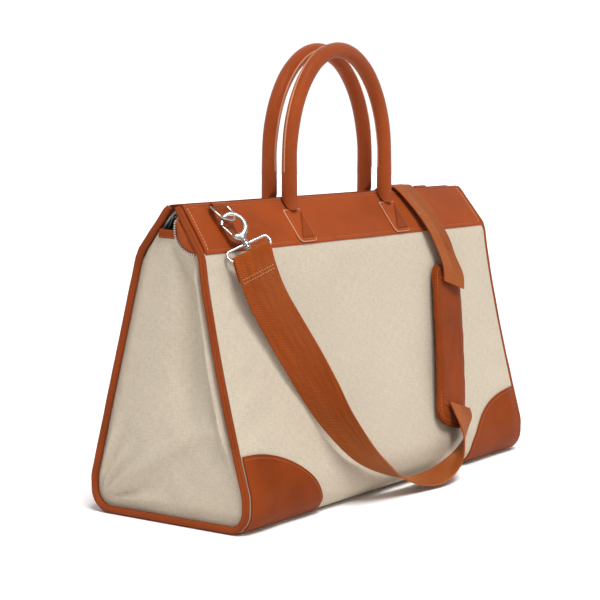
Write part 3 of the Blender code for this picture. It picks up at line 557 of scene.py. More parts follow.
def stitch(shape, start, end, normal, radius):
    """One thread: a low arch, six-sided, sunk at both ends."""
    side = (end - start).cross(normal).normalized()
    rings = []
    for t, lift, size in ((0.0, -0.6, 0.55), (0.2, 0.5, 1.0), (0.8, 0.5, 1.0), (1.0, -0.6, 0.55)):
        centre = start.lerp(end, t) + normal * radius * lift
        rings.append([shape.verts.new(centre + side * u + normal * v) for u, v in circle(radius * size, 6)])
    skin(shape, rings)


def wave(x, y, z, scale):
    return noise.noise(Vector((x, y, z)) * scale)


# ---- section of the body -------------------------------------------------------------------------
def half_depth(z, side=-1):
    base = BASE_HALF if side < 0 else BACK_BASE_HALF
    if z <= FULL_Z:
        return base
    u = min((z - FULL_Z) / (BAND_Z - FULL_Z), 1)
    return BAND_HALF + (base - BAND_HALF) * (1 - u) ** (LEAN_POWER if side < 0 else BACK_LEAN_POWER)


def profile(top, start_deg=-90.0, arc=8, rises=34, side=-1):
    """One side's outer section: (depth, z, normal depth, normal z), from the base's edge up."""
    points = []
    middle = half_depth(0, side) - CORNER_R
    for k in range(arc):
        a = math.radians(start_deg * (1 - k / arc))
        points.append((middle + CORNER_R * math.cos(a), CORNER_R + CORNER_R * math.sin(a)))
    for k in range(rises + 1):
        z = CORNER_R + (top - CORNER_R) * k / rises
        points.append((half_depth(z, side), z))
    made = []
    for i, (y, z) in enumerate(points):
        ya, za = points[max(i - 1, 0)]
        yb, zb = points[min(i + 1, len(points) - 1)]
        size = math.hypot(yb - ya, zb - za)
        made.append((y, z, (zb - za) / size, -(yb - ya) / size))
    return made


def whole_profile(top, rises):
    """Both sides' section: (y, z, normal y, normal z), from the front's top round to the back's."""
    front = profile(top, rises=rises)
    return [(-y, z, -ny, nz) for y, z, ny, nz in front[::-1]] + profile(top, rises=rises, side=1)


def ease(value):
    t = min(max(value, 0.0), 1.0)
    return t * t * (3 - 2 * t)


def sag(x, z, side):
    """How far the canvas stands out from the plain section: pulled in at the seams, soft folds between."""
    seam_x = ease((PANEL_HALF - abs(x)) / 0.022)
    seam_top = ease((BAND_Z - 0.002 - z) / 0.030)
    seam_low = ease((z + 0.006) / 0.025)
    puff = 0.0017 * seam_x * seam_top * seam_low
    folds = 0.0026 * wave(x, side * 3.0, z, 7.5) + 0.0014 * wave(x, side * 5.0, z, 19.0)
    near = math.exp(-((PANEL_HALF - abs(x)) / 0.034) ** 2)
    corner = near * math.exp(-((z - 0.105) / 0.055) ** 2)
    pull = -0.0018 * corner * math.sin((z - 0.35 * (PANEL_HALF - abs(x))) * 165)
    pull += 0.0009 * near * math.exp(-((z - 0.205) / 0.03) ** 2) * math.sin((z + 0.2 * abs(x)) * 210)
    return puff + (folds + pull) * seam_x * seam_low * (0.25 + 0.75 * seam_top)


# ---- canvas --------------------------------------------------------------------------------------
def canvas_side(name, side):
    """Front or back canvas with its rounded lower edge; its top is sewn behind the lip."""
    columns = 150
    section = profile(BAND_Z + 0.0008, side=side)

    def point(i, j):
        x = (PANEL_HALF + 0.0010) * (2 * i / columns - 1)
        y, z, ny, nz = section[j]
        out = sag(x, z, side) - 0.0008 * (1 - ease((PANEL_HALF + 0.001 - abs(x)) / 0.003))
        out = out * ease(z / 0.010) - 0.0024 * ease((z - (BAND_Z - 0.006)) / 0.005)
        deep = out - CANVAS_T
        return ((x, side * (y + ny * out), max(z + nz * out, 0.0004)),
                (x, side * (y + ny * deep), max(z + nz * deep, 0.0014)))

    side_name = name.split("_")[0]
    mesh = shell(name, columns, len(section) - 1, point)
    made = place(name, mesh, "canvas", "canvas", [f"{side_name}_panel"])
    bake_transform(made)


def end_half(z, side):
    """Half width of an end canvas at a height, on one side."""
    if z < CORNER_R:
        middle = half_depth(0, side) - CORNER_R
        return middle + math.sqrt(max((CORNER_R - 0.0058) ** 2 - (CORNER_R - z) ** 2, 0))
    low = half_depth(min(z, 0.2375), side) - 0.0058
    return float(np.interp(z, [0.2375, BAND_Z, TONGUE_TOP - 0.0023], [low, 0.0298, TONGUE_HALF + 0.0016]))


def end_out(y, z, end):
    """How far an end canvas stands out from its plane: pleat by the front piping, valley, corner creases."""
    from_front = y + end_half(z, -1)
    from_back = end_half(z, 1) - y
    rim = ease(from_front / 0.006) * ease(from_back / 0.009) * ease((z - 0.0066) / 0.014)
    high = ease((0.250 - z) / 0.03)
    along = ease((z - 0.045) / 0.05) * high
    pleat = 0.0068 * math.exp(-((from_front - 0.0075 - 0.03 * (0.23 - z) * (0.23 - z)) / 0.0036) ** 2) * along
    centre = 0.020 + 0.24 * max(0.215 - z, 0.0)
    valley = -0.0094 * math.exp(-((from_front - centre) / (0.010 + 0.07 * max(0.24 - z, 0))) ** 2)
    valley *= ease((z - 0.085) / 0.07) * ease((0.262 - z) / 0.05)
    belly = 0.0046 * math.exp(-((y - 0.010) / 0.045) ** 2 - ((z - 0.075) / 0.040) ** 2)
    radius = math.hypot(from_back, z - 0.012)
    angle = math.atan2(z - 0.012, from_back)
    spread = math.exp(-((radius - 0.040) / 0.028) ** 2)
    creases = 0.0030 * spread * math.sin(angle * 13.0 + 0.8)
    ridge = 0.0036 * math.exp(-((z - 0.080 + 0.52 * (y + 0.02)) / 0.010) ** 2)
    ridge *= ease(from_back / 0.05) * ease(from_front / 0.03)
    soft = 0.0020 * wave(end, y, z, 14.0) + 0.0010 * wave(end, y * 1.2, z, 36.0)
    return (pleat + valley + belly + creases + ridge + soft) * rim - 0.0012 * (1 - rim)


def end_canvas(name, end):
    """Canvas end, soft and creased, up to its bound edge between the lips."""
    rows, columns, foot = 84, 72, 0.0064

    def point(i, j):
        z = foot + (TONGUE_TOP - 0.0025 - foot) * i / rows
        front, back = end_half(z, -1), end_half(z, 1)
        y = -front + (front + back) * j / columns
        x = GUSSET_X + 0.0016 + end_out(y, z, end)
        return (end * x, y, z), (end * (x - 0.0011), y, z)

    nodes = [f"{name.split('_')[0]}_gusset"]
    place(name, shell(name, rows, columns, point), "canvas", "canvas", nodes, body="bag_body")


def base():
    """Leather base, and the stiff board above it."""
    front, back = -(BASE_HALF - CORNER_R - GAP), BACK_BASE_HALF - CORNER_R - GAP
    outline = flat_outline(oblong(PANEL_HALF, front, back), 0.004)
    mesh = extruded("base_leather", outline, 0.0, 0.0016, Matrix.Identity(4), 0.0003)
    place("base_leather", mesh, "trim", "leather", ["base_panel"], body="bag_body")
    outline = [(u * 0.976, v) for u, v in outline]
    mesh = extruded("base_stiffener", outline, 0.0019, 0.0039, Matrix.Identity(4), 0.0003)
    place("base_stiffener", mesh, "board", "board", ["base_board"], body="bag_body")


def inner_bag():
    """Striped lining, open at the top."""
    columns = 60
    section = whole_profile(0.2385, 20)

    def wall(i, j):
        x = LINING_HALF * (2 * i / columns - 1)
        y, z, ny, nz = section[j]
        soft = 0.0066 + 0.0006 * wave(x, y, z, 30.0)
        deep = soft + LINING_T
        return (x, y - ny * soft, max(z - nz * soft, 0.0050)), (x, y - ny * deep, max(z - nz * deep, 0.0056))

    mesh = shell("striped_lining", columns, len(section) - 1, wall)
    place("striped_lining", mesh, "lining", "lining", ["lining"], body="bag_body")
    for end_name, end in ENDS:
        lining_end(f"{end_name}_lining_end", end)


def lining_end(name, end):
    rows, columns, foot, top = 24, 16, 0.0062, 0.2370

    def point(i, j):
        z = foot + (top - foot) * i / rows
        inset = 0.0085 + (0.012 if z < 0.012 else 0)
        low, high = (half_depth(max(z, CORNER_R), side) - inset for side in (-1, 1))
        y = -low + (low + high) * j / columns
        return (end * 0.2318, y, z), (end * (0.2318 - LINING_T), y, z)

    place(name, shell(name, rows, columns, point, turned=True), "lining", "lining", body="bag_body")


# ---- leather on the body -------------------------------------------------------------------------
def patch(name, side, end):
    """Corner patch: lies on the canvas, a quarter of an ellipse, with a stitched turned edge."""
    columns, steps = 34, 22
    section = np.array(profile(0.076, start_deg=-55.0, arc=7, rises=16, side=side))
    foot = section[0, 1]

    def on_canvas(x, z, stand):
        """A point that stands off the canvas, and the surface's normal there."""
        y, level, ny, nz = (float(np.interp(z, section[:, 1], section[:, k])) for k in range(4))
        out = sag(x, z, side) * ease(z / 0.010) + 0.0004 + stand
        return Vector((x, side * (y + ny * out), level + nz * out)), Vector((0, side * ny, nz))

    def point(i, j):
        across = i / columns
        x = end * (PANEL_HALF + 0.0009 - (PATCH_WIDE + 0.0009) * across)
        roof = max(PATCH_TALL * math.sqrt(max(1 - across ** 2, 0.0)), foot + 0.0012)
        z = foot + (roof - foot) * j / steps
        edge = min((roof - z) / 0.004, 1) if across < 1 else 0
        return on_canvas(x, z, PATCH_T * (0.72 + 0.28 * ease(edge)))[0], on_canvas(x, z, 0.0)[0]

    mesh = shell(name, columns, steps, point)
    place(name, mesh, "pad", "leather", [name.replace("_leather", "_patch")], body="bag_body")
    row = []
    for a in (math.pi / 2 * k / 48 * 0.985 for k in range(49)):
        z = (PATCH_TALL - 0.0032) * math.cos(a)
        if z < foot + 0.001:
            break
        row.append(on_canvas(end * (PANEL_HALF - GAP - (PATCH_WIDE - 0.0035) * math.sin(a)), z, PATCH_T))
    stitches(f"{name}_stitching", [tuple(zip(*row))], "bag_body", (0.0022, 0.0031, 0.00022))


def piping_ring(sign):
    """Section of folded piping: round, with the groove of its seam on the outer corner."""
    groove = math.pi / 4 if sign > 0 else 3 * math.pi / 4
    ring = []
    for u, v in circle(PIPING_R, 26):
        away = (math.atan2(v, u) - groove + math.pi) % (2 * math.pi) - math.pi
        size = 1 - 0.30 * math.exp(-(away / 0.20) ** 2)
        ring.append((size * u, size * v))
    return ring


def piping(side_name, turn, side, end_name, end):
    """One run of piping: from under the base round the corner, up the side and along the lip's end."""
    path, ups = [Vector((end * (END_X - PIPING_R), 0, PIPING_R + 0.0001))], [Vector((0, 0, -1))]
    for y, z, ny, nz in profile(BAND_Z - 0.0060, rises=40, side=side):
        inset = PIPING_R + 0.0004 * wave(end, side, z, 30.0)
        x = end * (END_X - PIPING_R - 0.0002 + 0.0004 * wave(y, z, end, 40.0))
        path.append(Vector((x, side * (y - ny * inset), max(z - nz * inset, PIPING_R + 0.0001))))
        ups.append(Vector((0, side * ny, nz)))
    for k in range(17):
        s = 0.0040 + (SLOPE - 0.0008 - 0.0040) * k / 16
        x = -side * end * (END_X - PIPING_R - 0.0002 + (TOP_LENGTH / 2 - END_X) * s / SLOPE)
        path.append(turn @ on_band(x, s, -PIPING_R + 0.0003 * wave(s, end, 1.0, 70.0)))
        ups.append(turn.to_3x3() @ OUT)
    radii = [1.0 + 0.05 * wave(p.y, p.z, end, 70.0) for p in path]
    radii[-2:] = [0.94, 0.74]
    name = f"{side_name}_{end_name}_cord"
    mesh = sweep(name, path, piping_ring(-side * end), radii=radii, ups=ups)
    nodes = [f"{end_name}_end_piping", f"{side_name}_{end_name}_lip_piping"]
    made = place(name, mesh, "trim", "leather", nodes, angle=70)
    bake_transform(made)


def gusset_binding(name, end):
    """Leather folded over the end canvas's top edge, between the lips."""
    path = []
    for t in (2 * k / 16 - 1 for k in range(17)):
        bow = 1 - t * t
        x = end * (GUSSET_X + 0.0012 - 0.0006 * bow)
        path.append(Vector((x, 0.0142 * t, TONGUE_TOP - 0.0040 - 0.0008 * bow)))
    ring = flat_outline(oblong(0.0019, -0.0042, 0.0040), 0.0016)
    mesh = sweep(name, path, ring, ups=[Vector((0, 0, 1))] * 17)
    place(name, mesh, "trim", "leather", [f"{name.split('_')[0]}_gusset_binding"], body="bag_body")
    line = [p + Vector((end * 0.0019, 0, -0.0026)) for p in path]
    stitches(f"{name}_stitching", [facing(line, X_AXIS * end)], "bag_body", (0.0022, 0.0032, 0.00022))


# ---- lips ----------------------------------------------------------------------------------------
def on_band(x, s, n):
    return Vector((x, -BAND_HALF, BAND_Z)) + UP * s + OUT * n


def band_frame(x, s, n):
    made = Matrix((X_AXIS, UP, OUT)).transposed().to_4x4()
    made.translation = on_band(x, s, n)
    return made


def band_height(x, s):
    """The band's face is pressed along its two stitch lines and padded a little between them."""
    line = 0.00045 * (math.exp(-((s - HEM) / 0.0008) ** 2) + math.exp(-((s - SLOPE + HEM) / 0.0008) ** 2))
    pad = 0.0006 * ease((s - 0.005) / 0.010) * ease((SLOPE - 0.005 - s) / 0.010)
    soft = 0.0006 * wave(x, s, 2.0, 17.0) * ease((s - 0.004) / 0.01) * ease((SLOPE - 0.004 - s) / 0.01)
    round_low = 0.0008 * (1 - ease(s / 0.0016))
    round_top = 0.0010 * (1 - ease((SLOPE - s) / 0.0018))
    return -line + pad + soft - round_low - round_top - 0.0001


def half_at(s):
    """Half length of a lip's face at a distance up its slope."""
    return PANEL_HALF - GAP + (TOP_PANEL_HALF - PANEL_HALF) * s / SLOPE


def band(side_name, turn, body):
    """Leather face of a lip, with the stitches of its hems and ends."""
    columns = 120
    hem = [0.0006, 0.0010, 0.0016, 0.0024, 0.0031, 0.0036, 0.0042, 0.0048, 0.0054, 0.0070]
    levels = hem + list(np.linspace(0.010, SLOPE - 0.010, 12)) + [SLOPE - v for v in hem[:0:-1]] + [SLOPE]

    def point(i, j):
        s = levels[j]
        x = half_at(s) * (2 * i / columns - 1)
        return turn @ on_band(x, s, band_height(x, s)), turn @ on_band(x, s, -0.0020)

    name = f"{side_name}_lip"
    mesh = shell(f"{name}_leather", columns, len(levels) - 1, point)
    place(f"{name}_leather", mesh, "band", "leather", [f"{side_name}_band"], body=body)
    out = turn.to_3x3() @ OUT
    hems = [facing([turn @ on_band(x, s, -0.00038) for x in np.linspace(-0.236, 0.236, 60)], out)
            for s in (HEM, SLOPE - HEM)]
    ends = []
    for end in (-1, 1):
        spots = [(end * (half_at(s) - HEM), s) for s in np.linspace(0.004, SLOPE - 0.004, 14)]
        ends.append(facing([turn @ on_band(x, s, band_height(x, s)) for x, s in spots], out))
    stitches(f"{name}_stitching", hems, body, (0.0024, 0.0034, 0.00026))
    stitches(f"{name}_end_stitching", ends, body, (0.0026, 0.0034, 0.00030), "pale_thread")


def facing_edge(extra, steps):
    """Bowed edge of the half-moon, as (distance up the lip, distance out of it)."""
    low, high, bow = 0.0060, 0.0420, 0.0095
    return [(low + (high - low) * t, -0.0078 - bow * math.sin(math.pi * t) ** 0.8 - extra)
            for t in (k / steps for k in range(steps + 1))]


def end_facing(body):
    """Half-moon facing: padded leather at the front lip's left end, outside the end canvas."""
    rows, steps = 12, 30
    edge = facing_edge(0.0, steps)

    def point(i, j):
        s, n = edge[i]
        t = j / rows
        depth = -0.0066 + (n + 0.0066) * t
        puff = 0.0011 * math.sin(math.pi * t) ** 0.6 + 0.0005
        return on_band(FACING_X - puff, s, depth), on_band(FACING_X, s, depth)

    mesh = shell("front_half_moon", steps, rows, point)
    place("front_half_moon", mesh, "handle", "leather", ["front_end_facing"], angle=60, body=body)


def zip_path(side):
    """Line of a lip's teeth; the front one comes up round the half-moon."""
    path = [on_band(FACING_X - 0.0008, s, n) for s, n in facing_edge(0.0014, 20)] if side < 0 else []
    last = FRONT_ZIP_END if side < 0 else BACK_ZIP_END
    path += [Vector((x, y, ZIP_Z)) for x, y in ((-0.2370, -0.0030), (-0.2300, -0.0019), (last, -0.0019))]
    return [Vector((p.x, -side * p.y, p.z)) for p in path]


def zip_row(side_name, side, body):
    """Zip: separate teeth on a cord, and the tape that joins them to the lip."""
    path = zip_path(side)
    spots = measured(path)
    shape = bmesh.new()
    pitch = 0.0022
    for k in range(int(spots[-1] / pitch)):
        here = at_length(path, spots, (k + 0.25 + (0.5 if side > 0 else 0)) * pitch)
        ahead = at_length(path, spots, (k + 1.0) * pitch) - at_length(path, spots, k * pitch)
        ahead.normalize()
        up = -X_AXIS if here.x < -0.240 else Vector((0, 0, 1))
        up = (up - ahead * up.dot(ahead)).normalized()
        at = Matrix((ahead, up.cross(ahead), up)).transposed().to_4x4()
        at.translation = here
        bmesh.ops.create_cube(shape, size=1, matrix=at @ Matrix.Diagonal((0.0012, 0.0022, 0.0019, 1)))
    name = f"{side_name}_zip"
    place(f"{name}_chain", mesh_of(f"{name}_chain", shape), "zip", "zip_metal", [f"{name}_teeth"], body=body)
    place(f"{name}_cord", sweep(f"{name}_cord", path, circle(0.0006, 6)), "trim", "leather", body=body)
    low, high = sorted((side * 0.0030, side * 0.0078))

    def point(i, j):
        x, y = -0.229 + 0.458 * i / 49, low + (high - low) * j / 4
        z = ZIP_Z + 0.0004 + 0.0002 * wave(x, y, 3.0, 60.0)
        return (x, y, z), (x, y, z - 0.0008)

    tape = shell(f"{name}_cloth", 49, 4, point)
    place(f"{name}_cloth", tape, "trim", "leather", [f"{name}_tape"], body=body)


def lip_lining(side_name, turn, body):
    """Striped cloth behind a lip."""
    columns, rows = 60, 8

    def point(i, j):
        t = 2 * i / columns - 1
        s = 0.002 + 0.042 * j / rows
        sink = 0.0072 + 0.0009 * math.sin(math.pi * j / rows) + 0.0004 * wave(t, s * 8, 1.0, 9.0)
        x = (half_at(s) - 0.0022) * t
        return turn @ on_band(x, s, -sink), turn @ on_band(x, s, -sink - LINING_T)

    mesh = shell(f"{side_name}_lip_stripes", columns, rows, point)
    place(f"{side_name}_lip_stripes", mesh, "lining", "lining", [f"{side_name}_lip_lining"], body=body)


def handle_path():
    """Centre line of the front handle, from the left foot over the crown to the right foot."""
    rise = HANDLE_TOP - HANDLE_SPRING_Z
    arch = []
    for a in (math.pi * k / 40 for k in range(41)):
        x = HANDLE_SHIFT - HANDLE_HALF_SPAN * math.cos(a)
        arch.append(Vector((x, -HANDLE_Y, HANDLE_SPRING_Z + rise * math.sin(a))))
    leg = (0.262, 0.275, 0.284, 0.294, 0.304, 0.314)
    left = [Vector((arch[0].x, -HANDLE_Y, z)) for z in leg]
    right = [Vector((arch[-1].x, -HANDLE_Y, z)) for z in leg[::-1]]
    return left + arch + right


def handle(side_name, turn, body):
    """Rolled handle, its feet cut to the tabs, with its seam and stitches."""
    path = handle_path()
    radii = [1.0 + 0.03 * wave(p.x, p.z, 5.0, 40.0) - 0.05 * math.exp(-((p.z - 0.330) / 0.02) ** 2)
             for p in path]
    name = f"{side_name}_rolled_handle"
    mesh = sweep(name, path, circle(HANDLE_R, 24), radii=radii, ups=[Vector((0, 1, 0))] * len(path))
    shape = bmesh.new()
    shape.from_mesh(mesh)
    for spot, away in ((on_band(0, 0, 0.0030), OUT), ((0, 0, 0.2782), (0, 0, 1))):
        geometry = shape.verts[:] + shape.edges[:] + shape.faces[:]
        bmesh.ops.bisect_plane(shape, geom=geometry, plane_co=spot, plane_no=away, clear_inner=True)
        bmesh.ops.holes_fill(shape, edges=[e for e in shape.edges if e.is_boundary])
    bmesh.ops.transform(shape, matrix=turn, verts=shape.verts)
    place(name, mesh_of(name, shape), "handle", "leather", [f"{side_name}_handle"], angle=50, body=body)
    lean = Vector((-0.95, 0.30, 0)) if side_name == "front" else Vector((-0.15, 0.99, 0))
    line, normals = [], []
    for i in range(5, len(path) - 5):
        ahead = (path[i + 1] - path[i - 1]).normalized()
        normal = (lean - ahead * lean.dot(ahead)).normalized()
        line.append(turn @ (path[i] + normal * HANDLE_R * radii[i]))
        normals.append(turn.to_3x3() @ normal)
    stitches(f"{side_name}_handle_stitching", [(line, normals)], body, (0.0026, 0.0036, 0.00032))
    seam = []
    for i, (p, n) in enumerate(zip(line, normals)):
        before, after = (k - normals[j] * 0.0004 for k, j in ((line[max(i - 1, 0)], max(i - 1, 0)),
                         (line[min(i + 1, len(line) - 1)], min(i + 1, len(line) - 1))))
        seam.append(p - n * 0.0004 + (after - before).normalized().cross(n).normalized() * 0.0016)
    edge = [(-0.0007, -0.0006), (0.0007, -0.0006), (0.0006, 0.0007), (-0.0006, 0.0007)]
    mesh = sweep(f"{side_name}_handle_seam", seam, edge, ups=normals)
    place(f"{side_name}_handle_seam", mesh, "edge", "leather", body=body)


def handle_tab(name, turn, body, x):
    """Sewn tab: edge-painted rim, a folded triangle and its stitches."""
    w, low, high, cut = TAB_HALF_WIDTH, 0.0015, 0.0385, 0.003
    corners = [(-w, low + cut), (-w + cut, low), (w - cut, low), (w, low + cut), (w, high), (-w, high)]
    outline = flat_outline(corners, 0.0014)
    face = [(u * 0.93, (v - 0.016) * 0.945 + 0.016) for u, v in outline]
    left, right, foot = -w + 0.0042, w - 0.0034, low + 0.0040
    fold = flat_outline([(right, high - 0.0045), (right, foot + 0.0002), (left, foot)], 0.0010)
    at = turn @ band_frame(x, 0, 0)
    nodes = [name.replace("tab", "handle_tab")]
    for part, shape, mat, z0, z1, bevel, segments, stands_for in (
            ("edge", outline, "edge", GAP, 0.0019, 0.0005, 3, nodes),
            ("face", face, "band", 0.0012, 0.0025, 0.0004, 3, ()),
            ("fold", fold, "trim", 0.0022, 0.0033, 0.0004, 2, ())):
        mesh = extruded(f"{name}_{part}", shape, z0, z1, at, bevel, segments)
        place(f"{name}_{part}", mesh, mat, "leather", stands_for, body=body)
    ring = [(u * 0.80, (v - 0.016) * 0.86 + 0.016) for u, v in outline]
    path = [turn @ on_band(x + u, s, 0.0027) for u, s in ring[-1:] + ring[:-1]]
    stitches(f"{name}_stitching", [facing(path, turn.to_3x3() @ OUT)], body, (0.0020, 0.0029, 0.00024))


def chape(side_name, turn, body):
    """Leather strap doubled round the D ring's bar, stitched to the lip."""
    w, r = CHAPE_WIDTH / 2, 0.0026
    points = [(0.0050, 0.0012), (0.020, 0.0013), (0.034, 0.0015), (0.0405, 0.0023)]
    for a in (math.radians(-110 + 250 * k / 8) for k in range(9)):
        points.append((CHAPE_FOLD_S + r * math.cos(a), CHAPE_FOLD_N + r * math.sin(a)))
    points += [(0.0395, 0.0046), (0.034, 0.0032), (0.020, 0.0029), (0.0060, 0.0027)]
    line = [turn @ on_band(RING_X, s, n) for s, n in curve_through(points, 3)]
    across = turn.to_3x3() @ X_AXIS
    shape = bmesh.new()
    rings = []
    for i, p in enumerate(line):
        ahead = (line[min(i + 1, len(line) - 1)] - line[max(i - 1, 0)]).normalized()
        normal = ahead.cross(across).normalized()
        from_end = min(i, len(line) - 1 - i)
        half = w * (0.62 if from_end < 2 else (0.88 if from_end < 4 else 1.0))
        ring = [(-half, -0.0005), (-half + 0.0006, -0.0008), (half - 0.0006, -0.0008), (half, -0.0005)]
        ring += [(-u, -v) for u, v in ring]
        rings.append([shape.verts.new(p + across * u + normal * v) for u, v in ring])
    skin(shape, rings)
    name = f"{side_name}_ring_tab"
    place(name, mesh_of(name, shape), "handle", "leather", [f"{side_name}_chape"], angle=50, body=body)
    half_row = [(-w + 0.002, 0.036), (-w + 0.002, 0.012), (-0.004, 0.0078)]
    row = half_row + [(-u, s) for u, s in half_row[::-1]]
    path = [turn @ on_band(RING_X + u, s, 0.0039) for u, s in row]
    stitches(f"{name}_stitching", [facing(path, turn.to_3x3() @ OUT)], body, (0.0020, 0.0029, 0.00024))


# ---- hardware ------------------------------------------------------------------------------------
def wire(name, path, radius, up, nodes, body, closed=True, radii=None):
    """Round nickel wire along a path."""
    mesh = sweep(name, path, circle(radius, 12), closed=closed, radii=radii, ups=[up] * len(path))
    place(name, mesh, "nickel", "nickel", nodes, angle=60, body=body)


def d_ring(side_name, turn):
    down = -UP * math.cos(RING_TILT) + OUT * math.sin(RING_TILT)
    start = on_band(RING_X, CHAPE_FOLD_S, CHAPE_FOLD_N)
    spots = [(0.9 * t, 0.0) for t in np.linspace(-1, 1, 7)] + [(1, 0.0015)]
    spots += [(math.cos(a), RING_SIDE + RING_HALF_WIDTH * math.sin(a)) for a in np.linspace(0, math.pi, 25)]
    spots += [(-1, 0.0015)]
    path = [turn @ (start + down * d - X_AXIS * RING_HALF_WIDTH * u) for u, d in spots]
    up = turn.to_3x3() @ down.cross(X_AXIS)
    wire(f"{side_name}_d", path, RING_WIRE_R, up, [f"{side_name}_d_ring"], f"{side_name}_ring")


def hook_frame():
    z_axis = HOOK_UP.normalized()
    x_axis = (HOOK_ACROSS - z_axis * HOOK_ACROSS.dot(z_axis)).normalized()
    made = Matrix((x_axis, z_axis.cross(x_axis), z_axis)).transposed().to_4x4()
    made.translation = HOOK_SWIVEL
    return made


def eye_point(a):
    middle = (EYE_TOP + EYE_LOW) / 2
    return Vector((EYE_HALF * math.cos(a), 0, middle + (EYE_TOP - EYE_LOW) / 2 * math.sin(a)))


def snap_hook(side_name, turn):
    """Snap hook: egg-shaped polished eye, flat shoulder, collar and the swivel's post with its head."""
    made = turn @ hook_frame()
    up = made.to_3x3() @ Vector((0, 1, 0))
    path = [eye_point(math.radians(a)) for a in range(-116, 160, 5)]
    radii = [1.0 + 0.42 * math.exp(-((p.z - 0.0105) / 0.0075) ** 2) for p in path]
    ring = [(u * 1.22, v * 0.92) for u, v in circle(HOOK_WIRE_R, 18)]
    name, body = f"{side_name}_hook", f"{side_name}_hook"
    mesh = sweep(f"{name}_eye", [made @ p for p in path], ring, radii=radii, ups=[up] * len(path))
    place(f"{name}_eye", mesh, "nickel", "nickel", [f"{side_name}_snap_hook"], angle=60, body=body)
    shape = bmesh.new()
    shoulder = [(0.0024, 0.0024, 0.0022), (0.0030, 0.0034, 0.0030), (0.0044, 0.0036, 0.0030),
                (0.0052, 0.0030, 0.0026), (0.0060, 0.0036, 0.0025), (0.0082, 0.0056, 0.0022),
                (0.0104, 0.0072, 0.0019), (0.0119, 0.0074, 0.0016), (0.0128, 0.0066, 0.0011)]
    loft(shape, shoulder, made)
    loft(shape, [(-0.0036, 0.0015, 0.0015), (0.0035, 0.0015, 0.0015)], made, 12)
    head = [(-0.0052, 0.0010), (-0.0049, 0.0022), (-0.0042, 0.0026), (-0.0032, 0.0025), (-0.0030, 0.0016)]
    loft(shape, [(z, r, r) for z, r in head], made)
    place(f"{name}_swivel", mesh_of(f"{name}_swivel", shape), "nickel", "nickel", angle=40, body=body)
    path = [made @ GATE_FOOT.lerp(GATE_TIP, t) for t in np.linspace(-0.10, 1, 8)]
    sizes = [1.15, 1.1, 1.0, 0.95, 0.95, 0.95, 0.95, 0.85]
    wire(f"{side_name}_gate_bar", path, GATE_R, up, [f"{side_name}_hook_gate"], f"{side_name}_gate",
         closed=False, radii=sizes)


def strap_loop(side_name, turn):
    """Wire loop that holds the strap, and the collar that turns on the hook's post."""
    made = turn @ hook_frame()
    name = f"{side_name}_loop"
    corners = [(-LOOP_HALF, 0, 0), (LOOP_HALF, 0, 0), (LOOP_HALF, 0, -BAR_DROP), (-LOOP_HALF, 0, -BAR_DROP)]
    path = [made @ p for p in rounded(corners, 0.005, 7)]
    up = made.to_3x3() @ Vector((0, 1, 0))
    wire(f"{name}_wire", path, LOOP_WIRE_R, up, [f"{side_name}_strap_loop"], name)
    shape = bmesh.new()
    levels = [(-0.0024, 0.0018), (-0.0024, 0.0030), (-0.0016, 0.0034), (0.0014, 0.0034), (0.0021, 0.0030),
              (0.0021, 0.0018)]
    loft(shape, [(z, r, r) for z, r in levels], made, closed=True)
    place(f"{name}_collar", mesh_of(f"{name}_collar", shape), "nickel", "nickel", angle=40, body=name)


def zip_slider():
    """Slider: two flanges on a post, and its pull tab."""
    outline = flat_outline([(-0.005, -0.0006), (0.005, -0.0006), (0.0035, 0.0042), (-0.005, 0.0042)], 0.0012)
    at = Matrix.Translation((SLIDER_X, 0, ZIP_Z))
    shape = bmesh.new()
    for low, high in ((-0.0028, -0.0016), (0.0016, 0.0028)):
        shape.from_mesh(extruded("flange", outline, low, high, at, 0.0003))
    shape.from_mesh(extruded("post", oblong(0.002, -0.0005, 0.0005), -0.002, 0.002, at, 0))
    place("zip_runner", mesh_of("zip_runner", shape), "zip", "zip_metal", ["zip_slider"], body="zip_slider")
    half = [(-0.0256, -0.0016), (-0.0240, -0.0026), (-0.008, -0.0022), (-0.0006, -0.0016)]
    outline = flat_outline(half + [(u, -v) for u, v in half[::-1]], 0.0010, 3)
    at = Matrix.Translation((SLIDER_X, 0, ZIP_Z + 0.0038))
    mesh = extruded("zip_pull_tab", outline, -0.0006, 0.0006, at, 0.0003)
    place("zip_pull_tab", mesh, "zip", "zip_metal", ["zip_puller"], body="zip_puller")


# ---- strap ---------------------------------------------------------------------------------------
def route_points(route, per_span):
    stations = curve_through([[*c, *w] for c, w in route], per_span)
    return [(Vector(s[:3]), Vector(s[3:]).normalized()) for s in stations]


